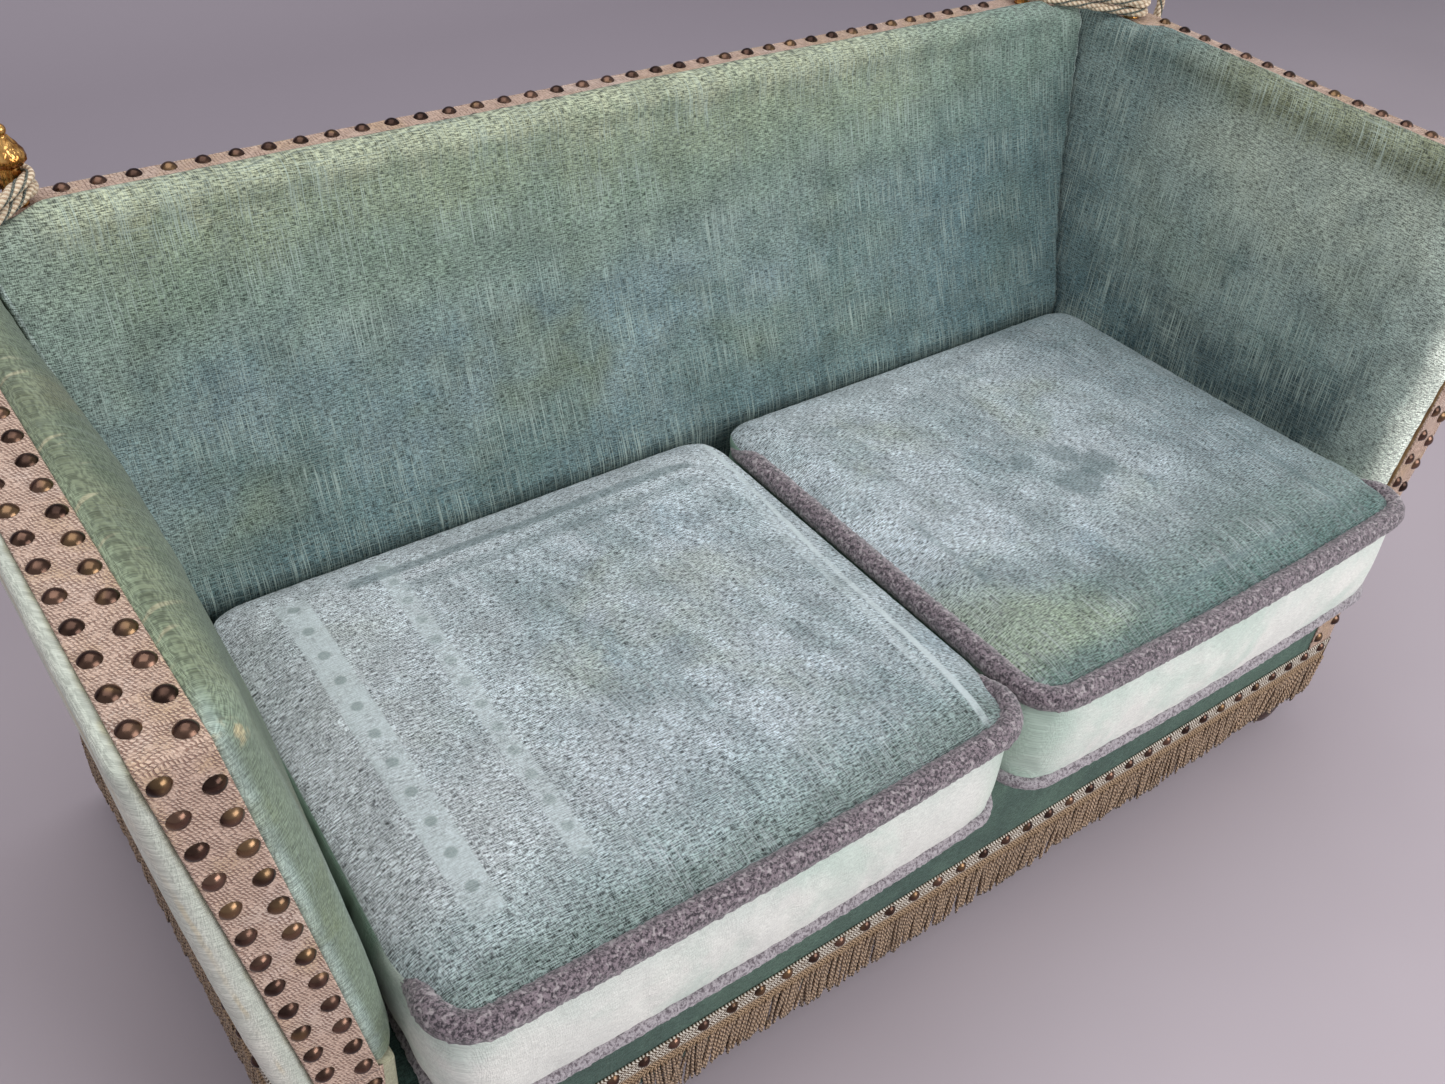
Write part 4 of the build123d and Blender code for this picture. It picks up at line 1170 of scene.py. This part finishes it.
# Finials
def leaf(angle, height, offset, low, high):
    """The relief of a ring of leaves, from 0 to 1."""
    share = (height - low) / (high - low)
    if not 0 < share < 1:
        return 0.0
    sector = (angle / math.tau * leaf_count + offset) % 1.0 * 2 - 1
    width = 0.98 * math.sin(math.pi * min(1.0, share * 0.94 + 0.06)) ** 0.55
    width *= 0.86 + 0.14 * math.cos(leaf_lobes * math.tau * share)
    inside = max(0.0, min(1.0, (width - abs(sector)) / 0.16))
    rib = max(0.0, 1 - abs(sector) / 0.13)
    veins = 0.5 + 0.5 * math.cos((abs(sector) * 1.8 + share * leaf_lobes) * math.tau)
    return inside * (0.55 + 0.3 * veins + 0.35 * rib)


def finial_radius(z):
    """The turned outline: a foot, a neck, a bulb that narrows to a waist, and a ball."""
    share = (z - neck_height) / bulb_height
    flare, widest, waist = -0.065, 0.2, 0.74
    if z < foot_height:
        return foot_radius
    if share < flare:
        return neck_radius
    if share < widest:
        rise = (share - flare) / (widest - flare)
        return neck_radius + (bulb_radius - neck_radius) * math.sin(rise * math.pi / 2) ** 0.8
    if share < waist:
        fall = (share - widest) / (waist - widest)
        return bulb_radius * (1 - 0.74 * fall**1.25)
    ball = neck_height + bulb_height - tip_radius
    inside = tip_radius**2 - (z - ball) ** 2
    return max(0.78 * tip_radius if z < ball else 0.0, math.sqrt(max(0.0, inside)))


def finial(name, source, body):
    """Two rings of carved leaves round the bulb, and a neck with fine flutes."""
    low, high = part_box(source)
    foot = Vector(((low.x + high.x) / 2, (low.y + high.y) / 2, low.z))
    rings = []
    for height in shares(finial_steps):
        z = (neck_height + bulb_height) * height
        share = (z - neck_height) / bulb_height
        ring = []
        for c in range(finial_facets):
            angle = math.tau * c / finial_facets
            radius = max(0.0004, finial_radius(z))
            if -0.06 < share < 0.72:
                relief = max(leaf(angle, share, 0.0, -0.06, 0.52), 0.8 * leaf(angle, share, 0.5, 0.12, 0.72))
                radius += leaf_depth * (relief - 0.6) * min(1.0, radius / 0.013)
            elif share < 0 and z > foot_height:
                radius += 0.0003 * math.cos(angle * 12)
            ring.append(foot + Vector((radius * math.cos(angle), radius * math.sin(angle), z)))
        rings.append(ring)
    shape = Shape()
    shape.tube(rings)
    shape.piece(name, body, "gilt_finial", gilt_look, source)


for side, way in sides:
    finial("gilt_back_" + side, "finial_back_" + side, "base")
    finial("gilt_arm_" + side, "finial_arm_" + side, "arm_" + side)


# Ropes and tassels
def rope_route(side_name, way):
    """The winding round both finials, climbing steadily, then the tail down to the tassel."""
    arm_low, arm_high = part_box("finial_arm_" + side_name)
    back_low, back_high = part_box("finial_back_" + side_name)
    arm_middle = (arm_low + arm_high) / 2
    back_middle = (back_low + back_high) / 2
    far = Vector((way * arm_middle.x, arm_middle.y))
    near = Vector((way * back_middle.x, back_middle.y))
    along = (far - near).normalized()
    outward = Vector((-along.y, along.x))
    far_edge = far + outward * wrap_radius
    near_edge = near - outward * wrap_radius
    climb = (2 * rope_radius + rope_turn_gap) / (2 * (far - near).length + math.tau * wrap_radius)
    base = arm_low.z + foot_height + seat_gap + rope_radius
    tail = Vector((arm_plane_x(arm_top) + tail_overhang, far.y + tail_setback))
    to_tail = tail - near
    spread = math.atan2(to_tail.dot(outward), to_tail.dot(along)) - math.asin(wrap_radius / to_tail.length)
    flat = [far_edge - along * 0.016]

    def arc(centre, first, turn):
        beside = Vector((-first.y, first.x))
        for share in shares(18)[1:]:
            angle = turn * share
            flat.append(centre + (beside * math.cos(angle) + first * math.sin(angle)) * wrap_radius)

    def line(end):
        start = flat[-1]
        flat.extend(start.lerp(end, share) for share in shares(12)[1:])

    line(far_edge)
    for turn in range(1, rope_turns + 1):
        arc(far, along, math.pi)
        line(near_edge)
        if turn < rope_turns:
            arc(near, -along, math.pi)
            line(far_edge)
    arc(near, -along, math.pi - spread)
    line(tail)
    travelled = 0.0
    points = [Vector((flat[0].x, flat[0].y, base))]
    for before, after in zip(flat, flat[1:]):
        travelled += (after - before).length
        points.append(Vector((after.x, after.y, base + travelled * climb)))
    end = points[-1]
    while (points[-1] - end).length < tail_bend:
        points.pop()
    start = points[-1]
    low = end - upward * tail_bend
    for t in shares(tail_steps)[1:]:
        points.append(start * (1 - t) ** 2 + end * 2 * t * (1 - t) + low * t * t)
    points.append(Vector((end.x, end.y, arm_top + tape_thickness - tail_drop)))
    return [Vector((way * p.x, p.y, p.z)) for p in points]


def strand(shape, route, radius, reach, turned, shade, facets):
    """A strand that winds round a route."""
    points = resampled(route, rope_step, closed=False)[0]

    def spot(i):
        angle = math.tau * (turned + i * rope_step / rope_lay)
        return [(reach * math.cos(angle), reach * math.sin(angle))]

    path = [ring[0] for ring in rings_along(points, spot)]
    shape.tube(rings_along(path, lambda i: round_section(radius, facets)), shade=shade)


def rope(side, route):
    """Three plies, with a dark strand in two of the grooves between them."""
    shape = Shape()
    for k in range(3):
        strand(shape, route, ply_radius, ply_reach, k / 3, k / 3, 10)
    for groove in (1 / 6, 1 / 2):
        strand(shape, route, dark_strand_radius, dark_strand_reach, groove, 1.0, 8)
    shape.piece("twisted_rope_" + side, "base", "rope_cord", rope_look, "rope_" + side)


def tassel(side, top):
    """A bound head and a skirt of cords in two layers."""
    shape = Shape()
    rings = []
    for share in shares(tassel_rings):
        radius = 0.0064 + 0.0106 * math.sin(math.pi * share) ** 0.8 + 0.0046 * share
        ribbed = 0.0007 * math.cos(share * 15 * math.tau)
        rings.append([top + Vector((a, b, -tassel_head * share))
                      for a, b in round_section(radius + ribbed, tassel_facets)])
    shape.tube(rings, shade=0.4)
    for k in range(tassel_cords):
        layer = k % 2
        angle = math.tau * k / tassel_cords
        drop = tassel_skirt - random.uniform(0.0, 0.007)
        sway = random.uniform(-0.003, 0.003)
        rings = []
        for share in shares(tassel_steps):
            radius = 0.0075 + (0.0095 - 0.004 * layer) * min(1.0, share * 4) ** 0.7
            turn = angle + sway * 20 * share * share
            down = tassel_head - 0.002 + drop * share
            centre = top + Vector((radius * math.cos(turn), radius * math.sin(turn), -down))
            twist = math.tau * share * drop / tassel_lay
            rings.append(oval_ring(centre, to_right, to_rear, 0.0015, 0.0010, twist))
        shape.tube(rings, shade=random.random())
    shape.piece("cord_tassel_" + side, "base", "tassel_cord", tassel_look, "tassel_" + side)


for side, way in sides:
    route = rope_route(side, way)
    rope(side, route)
    tassel(side, route[-1])


# Stage
def floor():
    """A floor that curves up into a backdrop well behind the sofa."""
    graph = Graph("studio_floor")
    tone = graph.two_tone(graph.noise(1.3, detail=3.0), 0.3, 0.7, (177, 166, 173), (183, 172, 179))
    # Darker towards the back and up the backdrop: painted shade, as on a wall away from the lamps.
    tone = tone.tint(graph.axes[1].between(0.2, 2.4), (162, 153, 162))
    graph.set(Base_Color=tone, Roughness=0.7, Specular_IOR_Level=0.2)
    profile = [(floor_front, 0.0), (floor_rear, 0.0)]
    for share in shares(12)[1:]:
        angle = math.pi / 2 * share
        profile.append((floor_rear + backdrop_bend * math.sin(angle), backdrop_bend * (1 - math.cos(angle))))
    profile.append((floor_rear + backdrop_bend, backdrop_top))
    points = [(x, y, z) for y, z in profile for x in (-floor_half, floor_half)]
    faces = [(2 * i, 2 * i + 1, 2 * i + 3, 2 * i + 2) for i in range(len(profile) - 1)]
    mesh = bpy.data.meshes.new("studio_floor")
    mesh.from_pydata(points, [], faces)
    mesh.materials.append(graph.material)
    mesh.polygons.foreach_set("use_smooth", [True] * len(mesh.polygons))
    piece = placed("studio_floor", mesh)


def lamp(name, place, aim, size, power):
    data = bpy.data.lights.new(name, "AREA")
    data.shape = "RECTANGLE"
    data.size, data.size_y = size
    data.energy = power
    light = placed(name, data)
    light.location = place
    light.rotation_euler = (Vector(aim) - Vector(place)).to_track_quat("-Z", "Y").to_euler()


def daylight():
    world = bpy.data.worlds.new("studio")
    world.use_nodes = True
    background = world.node_tree.nodes["Background"]
    background.inputs["Color"].default_value = (0.94, 0.96, 1.0, 1.0)
    background.inputs["Strength"].default_value = 0.55
    bpy.context.scene.world = world
    bpy.context.scene.view_settings.view_transform = "Standard"


def camera():
    data = bpy.data.cameras.new("camera")
    data.lens = camera_lens
    view = placed("camera", data)
    right = camera_forward.cross(camera_up).normalized()
    up = right.cross(camera_forward).normalized()
    back = -camera_forward.normalized()
    view.matrix_world = Matrix((
        (right.x, up.x, back.x, camera_place.x),
        (right.y, up.y, back.y, camera_place.y),
        (right.z, up.z, back.z, camera_place.z),
        (0, 0, 0, 1),
    ))
    bpy.context.scene.camera = view


floor()
lamp("window", (1.6, -3.6, 2.4), (0.0, 0.0, 0.3), (3.2, 2.2), 120.0)
lamp("ceiling", (-0.6, 0.4, 3.6), (0.0, 0.0, 0.0), (3.6, 3.0), 60.0)
daylight()
camera()
